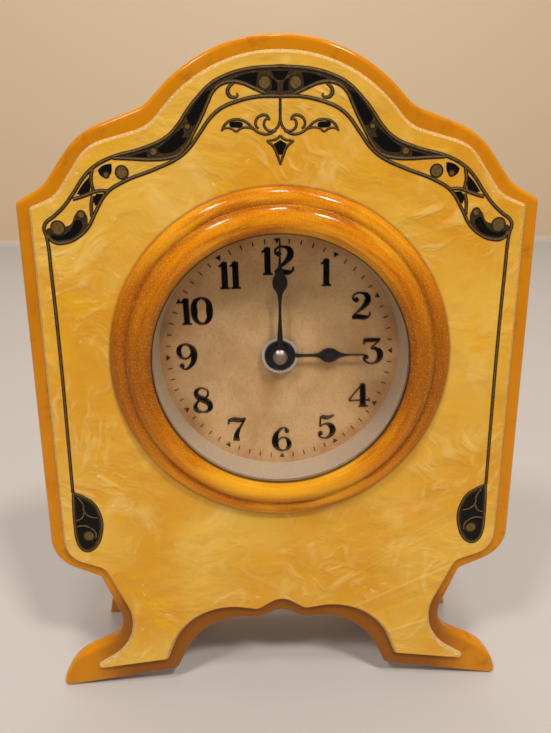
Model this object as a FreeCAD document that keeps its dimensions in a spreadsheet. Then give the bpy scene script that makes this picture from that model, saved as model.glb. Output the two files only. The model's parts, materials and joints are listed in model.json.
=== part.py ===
# Dressing-table clock: flat celluloid front on two flared feet, turned bezel, round drum
# movement behind it and a hinged rear stand. Lengths are in millimetres.
# The clock is drawn upright about the dial's centre: x right, y back, z up.
# Every piece is then leaned back together and set on the table at z = 0.
import FreeCAD, Part
import Sketcher
import math
import os

os.makedirs("parts", exist_ok=True)
V = FreeCAD.Vector

sizes = {
    # front plates
    "toe_reach": 51.8, "crown_height": 58.1, "toe_drop": 79.6, "toe_trim": 0.7,
    "base_thickness": 3.5, "base_edge": 1.0, "overlay_thickness": 1.0, "overlay_bevel": 0.6,
    "plate_hole_radius": 28.5, "drum_recess": 2.5,
    # bezel, glass and sight ring
    "bezel_radius": 33.2, "spigot_radius": 28.3, "spigot_bore": 26.6, "bead_start": 0.35,
    "outer_bead": 2.6, "groove_radius": 30.1, "groove_height": 1.7, "inner_bead": 3.6,
    "crest_radius": 26.2, "crest_height": 2.9, "lip_radius": 24.9, "lip_height": 2.0,
    "lip_thickness": 0.4, "crystal_radius": 26.4, "crystal_thickness": 0.9,
    "sight_wall": 0.6, "sight_flange": 0.5,
    # dial
    "dial_radius": 28.2, "dial_thickness": 0.5, "paper_thickness": 0.15, "dial_hole_radius": 2.2,
    "dial_foot_radius": 0.8, "dial_foot_circle": 22.0, "dial_foot_end": 0.6,
    # drum, its flange and its cap
    "drum_inner_radius": 30.0, "drum_wall": 0.5, "flange_radius": 34.0, "flange_thickness": 0.6,
    "cap_thickness": 0.5, "cap_skirt": 3.0, "cap_bead": 0.6, "screw_circle": 32.2,
    "screw_radius": 0.8, "screw_depth": 2.0, "screw_head_radius": 1.5, "screw_head_height": 0.7,
    "screw_slot": 0.35,
    # movement frame
    "motion_gap": 3.95, "movement_radius": 29.7, "plate_thickness": 1.2, "plate_gap": 13.0,
    "cap_gap": 2.5, "pillar_radius": 1.6, "pillar_circle": 26.5, "stud_radius": 0.9,
    "stud_end": 0.4, "nut_radius": 2.0, "nut_thickness": 1.2,
    # clearances: a running fit, a tight seat, end shake, and the overrun of every cut
    "fit": 0.05, "seat": 0.01, "shake": 0.2, "overrun": 1.0,
    # train
    "great_module": 0.36, "centre_module": 0.30, "third_module": 0.27, "fourth_module": 0.25,
    "motion_module": 0.30, "wheel_thickness": 0.7, "great_thickness": 1.2, "pinion_margin": 0.4,
    "wheel_rim": 1.0, "wheel_hub": 1.4, "wheel_arm": 1.0, "arbor_radius": 0.4, "pivot_radius": 0.25,
    "centre_radius": 0.9, "centre_pivot_radius": 0.6, "set_radius": 0.6,
    "escape_radius": 4.5, "escape_root": 3.3, "escape_hub": 1.1,
    # winding work
    "winding_radius": 1.5, "winding_pivot_radius": 1.0, "ratchet_radius": 4.6, "ratchet_root": 3.9,
    "ratchet_thickness": 1.0, "click_distance": 8.0, "click_boss": 1.2, "click_pin_radius": 0.5,
    "click_lift": 0.8, "click_spring_width": 0.3, "click_post_radius": 0.6,
    "spring_inner_radius": 2.1, "spring_outer_radius": 12.1, "spring_strip": 0.35, "spring_width": 6.4,
    # lever and balance
    "lever_distance": 6.2, "pallet_pin_radius": 0.22, "pallet_circle": 5.0, "pallet_reach": 1.1,
    "lever_thickness": 0.7, "lever_width": 1.2, "lever_boss": 1.0, "fork_length": 6.6, "fork_slot": 0.6,
    "balance_distance": 7.44, "balance_radius": 6.5, "balance_rim": 0.9, "balance_thickness": 1.0,
    "staff_radius": 0.45, "roller_radius": 1.6, "roller_thickness": 0.5, "impulse_pin_radius": 0.2,
    "impulse_circle": 1.2, "impulse_gap": 0.3, "bearing_radius": 1.1, "bearing_stand_out": 0.6,
    "bearing_depth": 0.9, "hair_inner_radius": 0.8, "hair_outer_radius": 4.3, "hair_strip": 0.1,
    "hair_width": 0.5, "hair_post_radius": 0.4,
    "curb_pin_radius": 0.18, "curb_gap": 0.1, "curb_slot": 0.7, "regulator_ring": 2.3,
    "regulator_thickness": 0.5, "regulator_reach": 9.0, "regulator_width": 1.4,
    "regulator_post_radius": 0.6, "regulator_stand_out": 1.5, "regulator_slot": 0.8,
    # hands and motion work
    "cannon_radius": 1.1, "pipe_radius": 1.7, "hand_thickness": 0.25, "collet_radius": 3.76,
    "collet_thickness": 0.4, "hour_hand_height": 1.3, "hour_boss_radius": 3.2, "hour_hand_length": 17.6,
    "minute_hand_height": 2.3, "minute_boss_radius": 2.3, "minute_hand_length": 23.8,
    "hand_nut_radius": 1.5, "hand_nut_height": 1.0, "hand_nut_collar": 0.3, "minute_stud_radius": 0.5,
    # key, knob and stand
    "key_hub_radius": 2.2, "key_hub_length": 4.0, "key_wing_radius": 4.0, "key_wing_offset": 4.4,
    "key_eye_radius": 1.9, "key_thickness": 1.3, "key_gap": 0.6, "key_web": 3.5, "knob_radius": 4.2,
    "knob_length": 4.0, "knob_edge": 0.6, "knob_collar_radius": 2.0, "knob_collar_length": 1.4,
    "flute_radius": 0.4, "flute_depth": 0.25,
    "stand_thickness": 3.5, "stand_drop": 41.0, "stand_pivot_depth": 3.5, "stand_foot_depth": 20.5,
    "stand_half_width": 12.0, "stand_foot_reach": 46.6, "stand_corner": 0.4, "stand_pin_radius": 0.8,
    "stand_pin_head": 1.2, "stand_pin_head_length": 0.4, "stand_stop_gap": 0.1,
    "bracket_thickness": 0.8, "bracket_rise": 3.0, "bracket_fall": 6.0, "bracket_gap": 0.3,
    "bracket_ear": 2.2, "bracket_screw_drop": 3.5, "bracket_screw_spread": 6.0,
}
lean_angle = 5.0

# Tooth counts of the going train and of the motion work
great_teeth, centre_leaves = 72, 12
centre_teeth, third_leaves = 60, 8
third_teeth, fourth_leaves = 56, 7
fourth_teeth, escape_leaves, escape_teeth = 60, 6, 15
cannon_leaves, minute_teeth, minute_leaves, hour_teeth, set_leaves = 12, 36, 10, 40, 12
ratchet_teeth = 20
mainspring_turns, hairspring_turns = 8, 5
wheel_arms, minute_wheel_arms, escape_arms, balance_arms = 5, 4, 4, 3
flute_count = 24

# Tooth heights as shares of the module, and widths as shares of the pitch
wheel_tooth_shares = {"tip": 0.9, "root": 1.25,
                      "tip_width": 0.12, "pitch_width": 0.44, "root_width": 0.48}
leaf_tooth_shares = {"tip": 0.55, "root": 1.35,
                     "tip_width": 0.18, "pitch_width": 0.42, "root_width": 0.36}
escape_tooth_shares = [("escape_root", -0.22), ("escape_radius", -0.05), ("escape_radius", 0.05),
                       ("escape_root", 0.22)]

# Fronts of the layers between the plates, as shares of the gap
layer_shares = {"great": 0.09, "ratchet": 0.205, "spring": 0.32, "centre": 0.877, "third": 0.68,
                "fourth": 0.49, "escape": 0.26, "lever": 0.335, "balance": 0.09, "roller": 0.22,
                "hair": 0.84}

# Layers of the motion work, as shares of its gap: fronts of two wheels, and a pinion's length
motion_shares = {"hour": 0.24, "minute": 0.65, "pinion": 0.5}

# Half outlines of the plates from the top round to the bottom. Each corner is given as shares:
# across, of the toe's reach; up, of the crown's height, or down, of the toe's drop; and its radius.
base_corner_shares = [
    (0.2413, 1.000, 0.579), (0.4595, 0.8055, 0.116), (0.6961, 0.7298, 0.290), (0.8274, 0.5771, 0.154),
    (0.9286, 0.5301, 0.023), (0.9710, -0.5616, 0.149), (0.7768, -0.6200, 0.023),
    (0.6737, -0.8073, 0.129), (0.9606, -0.9020, 0.232), (1.000, -1.000, 0.023),
    (0.4749, -0.9466, 0.025), (0.3436, -0.7613, 0.290), (0.0927, -0.7726, 0.097), (0.000, -0.7399, 0.077),
]
overlay_corner_shares = [
    (0.2375, 0.9527, 0.521), (0.4479, 0.7453, 0.154), (0.6602, 0.6945, 0.154), (0.7838, 0.5456, 0.116),
    (0.8764, 0.5129, 0.015), (0.9093, -0.5490, 0.106), (0.7510, -0.5867, 0.058),
    (0.6004, -0.8191, 0.220), (0.8745, -0.9322, 0.015), (0.5135, -0.9020, 0.015),
    (0.3938, -0.7023, 0.278), (0.1023, -0.7349, 0.048), (0.000, -0.6922, 0.077),
]
# Rear stand below its pin: across, of the foot's reach; down, of the length; radius, of the reach
stand_corner_shares = [(0.31, 0.52, 0.45), (0.93, 0.70, 0.17), (1.00, 1.06, 0.012),
                       (0.55, 1.06, 0.015), (0.42, 0.80, 0.15)]
# Share of an outline's side that the roundings at its two ends may take up together
rounding_room = 0.99
# Hands: along, of the hand's length, and half width, of the same length
hour_hand_shares = [(0.10, 0.022), (0.26, 0.021), (0.40, 0.021), (0.46, 0.036), (0.51, 0.070),
                    (0.575, 0.088), (0.635, 0.075), (0.69, 0.043), (0.75, 0.021), (0.87, 0.012),
                    (1.00, 0.007)]
minute_hand_shares = [(0.06, 0.017), (0.30, 0.015), (0.50, 0.016), (0.555, 0.028), (0.595, 0.052),
                      (0.64, 0.063), (0.685, 0.052), (0.735, 0.026), (0.79, 0.013), (0.90, 0.008),
                      (1.00, 0.005)]

# Directions seen from the front, in degrees anticlockwise from the right
train_angles = {"great": 225, "third": 60, "fourth": 75, "escape": 180, "lever": 180,
                "balance": 188.8, "minute": -31.5, "setting": -58.5}
pillar_angles = [40, 108, 190, 285]
hook_pillar = 2
dial_foot_angles = [90, 210, 330]
screw_angles = [45, 135, 225, 315]
click_angle = 240
pallet_spread = 36
regulator_angle = -48
regulator_swing = 12
hair_end_angle = 22

doc = FreeCAD.newDocument("DressingTableClock")
sheet = doc.addObject("Spreadsheet::Sheet", "Sizes")
for row, (alias, number) in enumerate(sizes.items(), start=1):
    sheet.set(f"A{row}", alias)
    sheet.set(f"B{row}", str(number))
    sheet.setAlias(f"B{row}", alias)
doc.recompute()

nodes = {}


def value(formula):
    """The length that a sum of products of sizes stands for."""
    total = 0.0
    for term in formula.replace(" - ", " + -").split(" + "):
        product = -1.0 if term.startswith("-") else 1.0
        for factor in term.lstrip("-").split(" * "):
            product *= float(sheet.get(factor)) if factor in sizes else float(factor)
        total += product
    return total


def bound(formula):
    """The same sum, written for a property that follows the sheet."""
    return " ".join(f"Sizes.{word}" if word in sizes else word for word in formula.split())


def bind(target, **formulas):
    for prop, formula in formulas.items():
        target.setExpression(prop, bound(formula))
    return target


def node(name, feature):
    feature.Label = name
    nodes[name] = feature
    return feature


def polar(distance, angle):
    """A step in the plane of the dial."""
    return V(distance * math.cos(math.radians(angle)), 0, distance * math.sin(math.radians(angle)))


def placed(at, y, rotation=FreeCAD.Rotation()):
    return FreeCAD.Placement(V(at.x, y, at.z), rotation)


backward = FreeCAD.Rotation(V(1, 0, 0), -90)
turned_back = FreeCAD.Rotation()
turned_front = FreeCAD.Rotation(V(0, 0, 1), 180)
centre = V(0, 0, 0)


def rod(radius, length, at, y):
    """A cylinder that runs back from y."""
    cylinder = bind(doc.addObject("Part::Cylinder", "Rod"), Radius=radius, Height=length)
    cylinder.Placement = placed(at, y, backward)
    return cylinder


def nut(radius, length, at, y):
    prism = bind(doc.addObject("Part::Prism", "Nut"), Circumradius=radius, Height=length)
    prism.Polygon = 6
    prism.Placement = placed(at, y, backward)
    return prism


def block(length, width, height, corner):
    """A box from its lowest corner."""
    box = bind(doc.addObject("Part::Box", "Block"), Length=length, Width=width, Height=height)
    box.Placement = FreeCAD.Placement(corner, FreeCAD.Rotation())
    return box


def fuse(pieces):
    joined = doc.addObject("Part::MultiFuse", "Fusion")
    joined.Shapes = pieces
    joined.Refine = True
    return joined


def group(pieces):
    """Separate solids that share one node."""
    together = doc.addObject("Part::Compound", "Group")
    together.Links = pieces
    return together


def cut(base, tools):
    result = doc.addObject("Part::Cut", "Cut")
    result.Base = base
    result.Tool = tools[0] if len(tools) == 1 else fuse(tools)
    return result


def plate(face, thickness, y):
    """A flat piece with the outline of a face that is drawn at y = 0."""
    drawing = doc.addObject("Part::Feature", "Outline")
    drawing.Shape = face
    sheet_piece = doc.addObject("Part::Extrusion", "Plate")
    sheet_piece.Base = drawing
    sheet_piece.DirMode = "Custom"
    sheet_piece.Dir = V(0, 1, 0)
    sheet_piece.Solid = True
    bind(sheet_piece, LengthFwd=thickness)
    sheet_piece.Placement = placed(centre, y)
    return sheet_piece


def turned(name, profile, at, y, way):
    """A turned piece. Each corner of the profile is (radius, height), taken anticlockwise;
    a third entry is the radius of the rounding from that corner to the next."""
    body = doc.addObject("PartDesign::Body", name)
    sketch = body.newObject("Sketcher::SketchObject", name + "Profile")
    plane = [feature for feature in body.Origin.OriginFeatures if feature.Role == "XY_Plane"][0]
    sketch.AttachmentSupport = [(plane, "")]
    sketch.MapMode = "FlatFace"
    corners = [V(value(entry[0]), value(entry[1]), 0) for entry in profile]
    count = len(profile)
    for i, entry in enumerate(profile):
        start, end = corners[i], corners[(i + 1) % count]
        if len(entry) == 2:
            sketch.addGeometry(Part.LineSegment(start, end), False)
            continue
        radius, chord = value(entry[2]), end - start
        depth = math.sqrt(radius ** 2 - (chord.Length / 2) ** 2)
        middle = (start + end) / 2 + V(-chord.y, chord.x, 0).normalize() * depth
        first, last = [math.atan2(point.y - middle.y, point.x - middle.x) for point in (start, end)]
        sketch.addGeometry(Part.ArcOfCircle(Part.Circle(middle, V(0, 0, 1), radius), first, last), False)
    for i, entry in enumerate(profile):
        sketch.addConstraint(Sketcher.Constraint("Coincident", i, 2, (i + 1) % count, 1))
        for kind, axis, formula, place in (("DistanceX", -2, entry[0], corners[i].x),
                                           ("DistanceY", -1, entry[1], corners[i].y)):
            if formula == "0":
                sketch.addConstraint(Sketcher.Constraint("PointOnObject", i, 1, axis))
                continue
            index = sketch.addConstraint(Sketcher.Constraint(kind, -1, 1, i, 1, place))
            sketch.setExpression(f"Constraints[{index}]", bound(formula))
        if len(entry) == 3:
            index = sketch.addConstraint(Sketcher.Constraint("Radius", i, value(entry[2])))
            sketch.setExpression(f"Constraints[{index}]", bound(entry[2]))
    revolution = body.newObject("PartDesign::Revolution", name + "Turning")
    revolution.Profile = sketch
    revolution.ReferenceAxis = (sketch, ["V_Axis"])
    revolution.Angle = 360
    body.Placement = placed(at, y, way)
    return body


def rounded_face(corners):
    """A face through corners (x, z, radius), each rounded by its own tangent arc.
    Where a side is too short for the roundings at its ends, both are made smaller."""
    count = len(corners)
    points = [V(x, 0, z) for x, z, radius in corners]
    ways, reaches = [], []
    for i, (x, z, radius) in enumerate(corners):
        before = (points[i - 1] - points[i]).normalize()
        after = (points[(i + 1) % count] - points[i]).normalize()
        ways.append((before, after))
        reaches.append(radius / math.tan(before.getAngle(after) / 2))
    shares = [1.0] * count
    for i in range(count):
        side = (points[i] - points[i - 1]).Length
        room = rounding_room * side / (reaches[i - 1] + reaches[i])
        for end in (i - 1, i):
            shares[end] = min(shares[end], room)
    edges, joints = [], []
    for point, (before, after), full_reach, share in zip(points, ways, reaches, shares):
        reach = share * full_reach
        half = before.getAngle(after) / 2
        radius = reach * math.tan(half)
        inward = (before + after).normalize()
        middle = point + inward * (radius / math.sin(half) - radius)
        arc = [point + before * reach, middle, point + after * reach]
        edges.append(Part.Arc(*arc).toShape())
        joints.append((arc[0], arc[2]))
    for i in range(count):
        edges.append(Part.LineSegment(joints[i - 1][1], joints[i][0]).toShape())
    return Part.Face(Part.Wire(Part.__sortEdges__(edges)))


def mirrored(half):
    """A whole outline from its right half, which may end on the middle line."""
    return half + [(-x, z, radius) for x, z, radius in reversed(half) if x > 0]


def plate_corners(corner_shares):
    half = []
    for across, up, radius in corner_shares:
        drop = size["crown_height"] if up > 0 else size["toe_drop"]
        half.append((across * size["toe_reach"], up * drop, radius * size["toe_reach"]))
    return mirrored(half)


def ring_sector(inner, outer, start, end, at=centre):
    """A flat piece of a ring between two angles."""
    arcs = []
    for radius in (inner, outer):
        arcs.append([at + polar(radius, angle) for angle in (start, (start + end) / 2, end)])
    edges = [Part.Arc(*arc).toShape() for arc in arcs]
    edges += [Part.LineSegment(arcs[0][i], arcs[1][i]).toShape() for i in (0, 2)]
    return Part.Face(Part.Wire(Part.__sortEdges__(edges)))


def disc(radius, at=centre):
    return Part.Face(Part.Wire(Part.makeCircle(radius, at, V(0, 1, 0))))


def crossings(rim, hub, arm, arms, at):
    """The windows between the arms of a wheel."""
    faces = []
    for i in range(arms):
        middle = (i + 0.5) * 360 / arms
        swings = [math.degrees(math.asin(arm / 2 / radius)) for radius in (hub, rim)]
        window = ring_sector(hub, rim, middle - 180 / arms + swings[0], middle + 180 / arms - swings[0], at)
        faces.append(window)
    return faces


def tooth_reach(teeth, module, shares):
    """Tip, pitch and root radius."""
    pitch = teeth * module / 2
    return pitch + shares["tip"] * module, pitch, pitch - shares["root"] * module


def toothed_face(teeth, module, shares, at, phase, arms=0):
    """A wheel or pinion with the middle of one tooth at the phase angle."""
    tip, pitch, root = tooth_reach(teeth, module, shares)
    half = 180 / teeth
    points = []
    for tooth in range(teeth):
        middle = phase + tooth * 360 / teeth
        sides = [(root, "root_width"), (pitch, "pitch_width"), (tip, "tip_width")]
        points += [at + polar(radius, middle - half * shares[width]) for radius, width in sides]
        points += [at + polar(radius, middle + half * shares[width]) for radius, width in sides[::-1]]
    face = Part.Face(Part.makePolygon(points + points[:1]))
    if arms:
        rim, hub = root - size["wheel_rim"], size["wheel_hub"]
        face = face.cut(crossings(rim, hub, size["wheel_arm"], arms, at))
    return face


def mesh_distance(module, teeth_a, teeth_b):
    return module * (teeth_a + teeth_b) / 2


def meshed(phase, teeth_a, teeth_b, direction):
    """The phase at which gear b, seen in this direction from gear a, takes a's teeth in its gaps."""
    return direction + 180 + 180 / teeth_b - (phase - direction) * teeth_a / teeth_b


def strip_face(arcs, width):
    """A strip that follows arcs (middle, radius, start, end), joined by straight stretches."""
    half, sides = width / 2, []
    for shift in (half, -half):
        edges, ends = [], []
        for middle, radius, start, end in arcs:
            arc = [middle + polar(radius + shift, angle) for angle in (start, (start + end) / 2, end)]
            if ends and ends[-1].distanceToPoint(arc[0]) > half:
                edges.append(Part.LineSegment(ends[-1], arc[0]).toShape())
            edges.append(Part.Arc(*arc).toShape())
            ends += [arc[0], arc[2]]
        sides.append((edges, ends[0], ends[-1]))
    caps = [Part.LineSegment(sides[0][i], sides[1][i]).toShape() for i in (1, 2)]
    return Part.Face(Part.Wire(Part.__sortEdges__(sides[0][0] + sides[1][0] + caps)))


def spiral(middle, inner, outer, turns, end):
    """Half turns whose radii grow evenly, the last one round the middle itself."""
    step = (outer - inner) / (2 * turns)
    shift = polar(step, end + 180)
    arcs = []
    for i in range(2 * turns + 1):
        odd = i % 2
        start = end + 180 * (1 + odd)
        arcs.append((middle + shift * odd, inner + i * step, start, start + 180))
    return arcs


def bar_face(start, end, width_start, width_end):
    """A straight tapered bar."""
    side = (end - start).cross(V(0, 1, 0)).normalize()
    points = [start + side * (width_start / 2), end + side * (width_end / 2),
              end - side * (width_end / 2), start - side * (width_start / 2)]
    return Part.Face(Part.makePolygon(points + points[:1]))


def plates(faces, thickness, y):
    """A flat piece whose outline is several faces together."""
    return fuse([plate(face, thickness, y) for face in faces])


size = {alias: float(sheet.get(alias)) for alias in sizes}

# Depths, from the front to the back
overlay_front = -size["drum_recess"] - size["base_thickness"] - size["overlay_thickness"]
base_front = -size["drum_recess"] - size["base_thickness"]
base_back = -size["drum_recess"]
dial_back = size["paper_thickness"] + size["dial_thickness"]
front_plate = dial_back + size["motion_gap"]
inner_front = front_plate + size["plate_thickness"]
inner_rear = inner_front + size["plate_gap"]
rear_back = inner_rear + size["plate_thickness"]
cap_front = rear_back + size["cap_gap"]
cap_back = cap_front + size["cap_thickness"]
layer = {name: inner_front + share * size["plate_gap"] for name, share in layer_shares.items()}
movement_depth = "plate_gap + 2 * plate_thickness"


def gap_between(front, back):
    """From the front of one layer of the movement to the front of another."""
    return f"{layer_shares[back]} * plate_gap - {layer_shares[front]} * plate_gap"



# Axes of the movement
great_at = polar(mesh_distance(size["great_module"], great_teeth, centre_leaves), train_angles["great"])
third_at = polar(mesh_distance(size["centre_module"], centre_teeth, third_leaves), train_angles["third"])
fourth_at = third_at + polar(mesh_distance(size["third_module"], third_teeth, fourth_leaves),
                             train_angles["fourth"])
escape_at = fourth_at + polar(mesh_distance(size["fourth_module"], fourth_teeth, escape_leaves),
                              train_angles["escape"])
lever_at = escape_at + polar(size["lever_distance"], train_angles["lever"])
balance_at = lever_at + polar(size["balance_distance"], train_angles["balance"])
motion_distance = mesh_distance(size["motion_module"], cannon_leaves, minute_teeth)
hour_module = 2 * motion_distance / (minute_leaves + hour_teeth)
minute_at = polar(motion_distance, train_angles["minute"])
setting_at = minute_at + polar(motion_distance, train_angles["setting"])
pillars_at = [polar(size["pillar_circle"], angle) for angle in pillar_angles]
dial_feet_at = [polar(size["dial_foot_circle"], angle) for angle in dial_foot_angles]
screws_at = [polar(size["screw_circle"], angle) for angle in screw_angles]

# The table, as a block in the upright frame, and the rear stand's angle to the plates
lean = math.radians(lean_angle)
table_level = (size["toe_trim"] - size["toe_drop"] * math.cos(lean)
               + size["drum_recess"] * math.sin(lean))
table_up = V(0, -math.sin(lean), math.cos(lean))
table_turn = FreeCAD.Rotation(V(1, 0, 0), lean_angle)
pin_at = V(0, base_back + size["stand_pivot_depth"], -size["stand_drop"])
foot_y = base_back + size["stand_foot_depth"]
foot_z = (table_level + foot_y * math.sin(lean)) / math.cos(lean)
stand_length = math.hypot(foot_y - pin_at.y, foot_z - pin_at.z)
stand_angle = math.degrees(math.atan2(foot_y - pin_at.y, pin_at.z - foot_z))


def table():
    """What lies below the table's surface."""
    box = doc.addObject("Part::Box", "Table")
    bind(box, Length="4 * toe_reach", Width="4 * toe_reach", Height="toe_reach")
    corner = table_turn.multVec(V(-2 * size["toe_reach"], -2 * size["toe_reach"], -size["toe_reach"]))
    box.Placement = FreeCAD.Placement(corner + table_up * table_level, table_turn)
    return box


def flat_edges(shape, depths):
    """The numbers of the edges that lie wholly at one of these depths."""
    found = []
    for number, edge in enumerate(shape.Edges, start=1):
        box = edge.BoundBox
        if any(abs(box.YMin - y) < size["seat"] and abs(box.YMax - y) < size["seat"] for y in depths):
            found.append(number)
    return found


# Front plates
screw_hole = "screw_radius + fit"
bracket_screws_at = [pin_at + V(side * size["bracket_screw_spread"], 0, -size["bracket_screw_drop"])
                     for side in (-1, 1)]


def plate_hole(y, thickness):
    return rod("plate_hole_radius", f"{thickness} + 2 * overrun", centre, y - size["overrun"])


def back_plate():
    blank = plate(rounded_face(plate_corners(base_corner_shares)), "base_thickness", base_front)
    doc.recompute()
    softened = doc.addObject("Part::Fillet", "SoftenedPlate")
    softened.Base = blank
    edge = size["base_edge"]
    softened.Edges = [(number, edge, edge) for number in flat_edges(blank.Shape, (base_front, base_back))]
    holes = [plate_hole(base_front, "base_thickness"), table()]
    for at in screws_at + bracket_screws_at:
        depth = "screw_depth + shake + overrun"
        holes.append(rod(screw_hole, depth, at, base_back - size["screw_depth"] - size["shake"]))
    return cut(softened, holes)


def front_overlay():
    blank = plate(rounded_face(plate_corners(overlay_corner_shares)), "overlay_thickness", overlay_front)
    doc.recompute()
    bevelled = doc.addObject("Part::Chamfer", "BevelledOverlay")
    bevelled.Base = blank
    edge = size["overlay_bevel"]
    bevelled.Edges = [(number, edge, edge) for number in flat_edges(blank.Shape, (overlay_front,))]
    return cut(bevelled, [plate_hole(overlay_front, "overlay_thickness"), table()])


node("back_plate", back_plate())
node("front_overlay", front_overlay())

# Bezel, glass and sight ring. Heights are taken from the back end of the bezel's spigot.
spigot_length = "overlay_thickness + base_thickness + drum_recess - sight_flange"
lip_under = f"{spigot_length} + lip_height - lip_thickness"
bezel_profile = [
    ("spigot_bore", "0"), ("spigot_radius", "0"), ("spigot_radius", spigot_length),
    ("bezel_radius", spigot_length), ("bezel_radius", f"{spigot_length} + bead_start", "outer_bead"),
    ("groove_radius", f"{spigot_length} + groove_height", "inner_bead"),
    ("crest_radius", f"{spigot_length} + crest_height"), ("lip_radius", f"{spigot_length} + lip_height"),
    ("lip_radius", lip_under), ("spigot_bore", lip_under),
]
sight_height = f"{lip_under} - crystal_thickness + sight_flange"
sight_profile = [
    ("lip_radius", "0"), ("dial_radius", "0"), ("dial_radius", "sight_flange"),
    ("lip_radius + 2 * sight_wall", "sight_flange"), ("lip_radius + sight_wall", sight_height),
    ("lip_radius", sight_height),
]
node("bezel", turned("bezel", bezel_profile, centre, -size["sight_flange"], turned_front))
node("sight_ring", turned("sight_ring", sight_profile, centre, 0, turned_front))
node("crystal", rod("crystal_radius", "crystal_thickness", centre,
                    -size["crystal_thickness"] - value(sight_height)))

# Dial
dial_hole = rod("dial_hole_radius", "dial_thickness + paper_thickness + 2 * overrun", centre,
                -size["overrun"])
feet = [rod("dial_foot_radius", "motion_gap + plate_thickness + dial_foot_end", at, dial_back)
        for at in dial_feet_at]
node("dial_paper", cut(rod("dial_radius", "paper_thickness", centre, 0), [dial_hole]))
node("dial_plate", fuse([cut(rod("dial_radius", "dial_thickness", centre, size["paper_thickness"]),
                             [dial_hole])] + feet))

# Drum and cap. Heights are taken from the front of the flange and from the open end of the skirt.
drum_length = f"drum_recess + paper_thickness + dial_thickness + motion_gap + {movement_depth} + cap_gap"
drum_outer = "drum_inner_radius + drum_wall"
drum_profile = [
    ("drum_inner_radius", "0"), ("flange_radius", "0"), ("flange_radius", "flange_thickness"),
    (drum_outer, "flange_thickness"), (drum_outer, drum_length), ("drum_inner_radius", drum_length),
]
cap_inner = f"{drum_outer} + fit"
cap_outer = f"{cap_inner} + drum_wall"
cap_profile = [
    (cap_inner, "0"), (cap_outer, "0"), (cap_outer, "cap_skirt + cap_thickness - cap_bead", "cap_bead"),
    (f"{cap_outer} - cap_bead", "cap_skirt + cap_thickness"), ("0", "cap_skirt + cap_thickness"),
    ("0", "cap_skirt"), (cap_inner, "cap_skirt"),
]


def through(radius, at, front, thickness):
    """A round hole through a flat piece."""
    return rod(radius, f"{thickness} + 2 * overrun", at, front - size["overrun"])


def arc_slot(at, radius, half_width, swing, front, thickness):
    """A curved slot that a post on an arm of this radius swings in."""
    margin = math.degrees(half_width / radius)
    opening = ring_sector(radius - half_width, radius + half_width,
                          regulator_angle - swing - margin, regulator_angle + swing + margin, at)
    return plate(opening, f"{thickness} + 2 * overrun", front - size["overrun"])


flange_holes = [through(screw_hole, at, base_back, "flange_thickness") for at in screws_at]
drum = cut(turned("drum", drum_profile, centre, base_back, turned_back), flange_holes)
cap_holes = [through("stud_radius + fit", at, cap_front, "cap_thickness") for at in pillars_at]
cap_holes += [
    through("winding_pivot_radius + shake", great_at, cap_front, "cap_thickness"),
    through("set_radius + shake", setting_at, cap_front, "cap_thickness"),
    arc_slot(balance_at, size["regulator_reach"], size["regulator_slot"], regulator_swing,
             cap_front, "cap_thickness"),
]
cap = turned("back_cap", cap_profile, centre, cap_front - size["cap_skirt"], turned_back)
node("drum", drum)
node("back_cap", cut(cap, cap_holes))


def screw(at, y):
    """A slotted screw that goes forward, with its head behind y."""
    shank = rod("screw_radius", "screw_depth + flange_thickness", at,
                y - size["screw_depth"] - size["flange_thickness"])
    head = rod("screw_head_radius", "screw_head_height", at, y)
    slot = block("4 * screw_head_radius", "screw_head_height", "screw_slot",
                 V(at.x - 2 * size["screw_head_radius"], y + size["screw_head_height"] / 2,
                   at.z - size["screw_slot"] / 2))
    return cut(fuse([shank, head]), [slot])


node("flange_screws", group([screw(at, base_back + size["flange_thickness"]) for at in screws_at]))

# Movement frame
train_at = {"third": third_at, "fourth": fourth_at, "escape": escape_at, "lever": lever_at}


def movement_plate(front, shared, special):
    blank = rod("movement_radius", "plate_thickness", centre, front)
    holes = [through(radius, at, front, "plate_thickness") for radius, at in shared]
    return cut(blank, holes + special)


pivot_holes = [("pivot_radius + fit", at) for at in train_at.values()]
pivot_holes += [("centre_pivot_radius + fit", centre), ("winding_pivot_radius + fit", great_at),
                ("set_radius + fit", setting_at), ("bearing_radius + seat", balance_at)]
pivot_holes += [("stud_radius + seat", at) for at in pillars_at]
front_holes = [("dial_foot_radius + fit", at) for at in dial_feet_at]
front_holes += [("minute_stud_radius + seat", minute_at)]
curb_slot = arc_slot(balance_at, size["hair_outer_radius"], size["curb_slot"], regulator_swing,
                     inner_rear, "plate_thickness")
hair_post_turn = math.degrees((size["hair_post_radius"] + size["fit"]) / size["hair_outer_radius"])
hair_post_at = balance_at + polar(size["hair_outer_radius"], hair_end_angle + hair_post_turn)
hair_hole = through("hair_post_radius + seat", hair_post_at, inner_rear, "plate_thickness")
node("front_movement_plate", movement_plate(front_plate, pivot_holes + front_holes, []))
node("rear_movement_plate", movement_plate(inner_rear, pivot_holes, [curb_slot, hair_hole]))


def pillar(at):
    waist = rod("pillar_radius", "plate_gap", at, inner_front)
    stud = rod("stud_radius", f"{movement_depth} + cap_gap + cap_thickness + nut_thickness + stud_end",
               at, front_plate)
    return fuse([waist, stud])


def stud_nut(at, y):
    return cut(nut("nut_radius", "nut_thickness", at, y),
               [through("stud_radius + seat", at, y, "nut_thickness")])


node("movement_pillars", group([pillar(at) for at in pillars_at]))
node("pillar_nuts", group([stud_nut(at, rear_back) for at in pillars_at]))
node("cap_nuts", group([stud_nut(at, cap_back) for at in pillars_at]))


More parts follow.
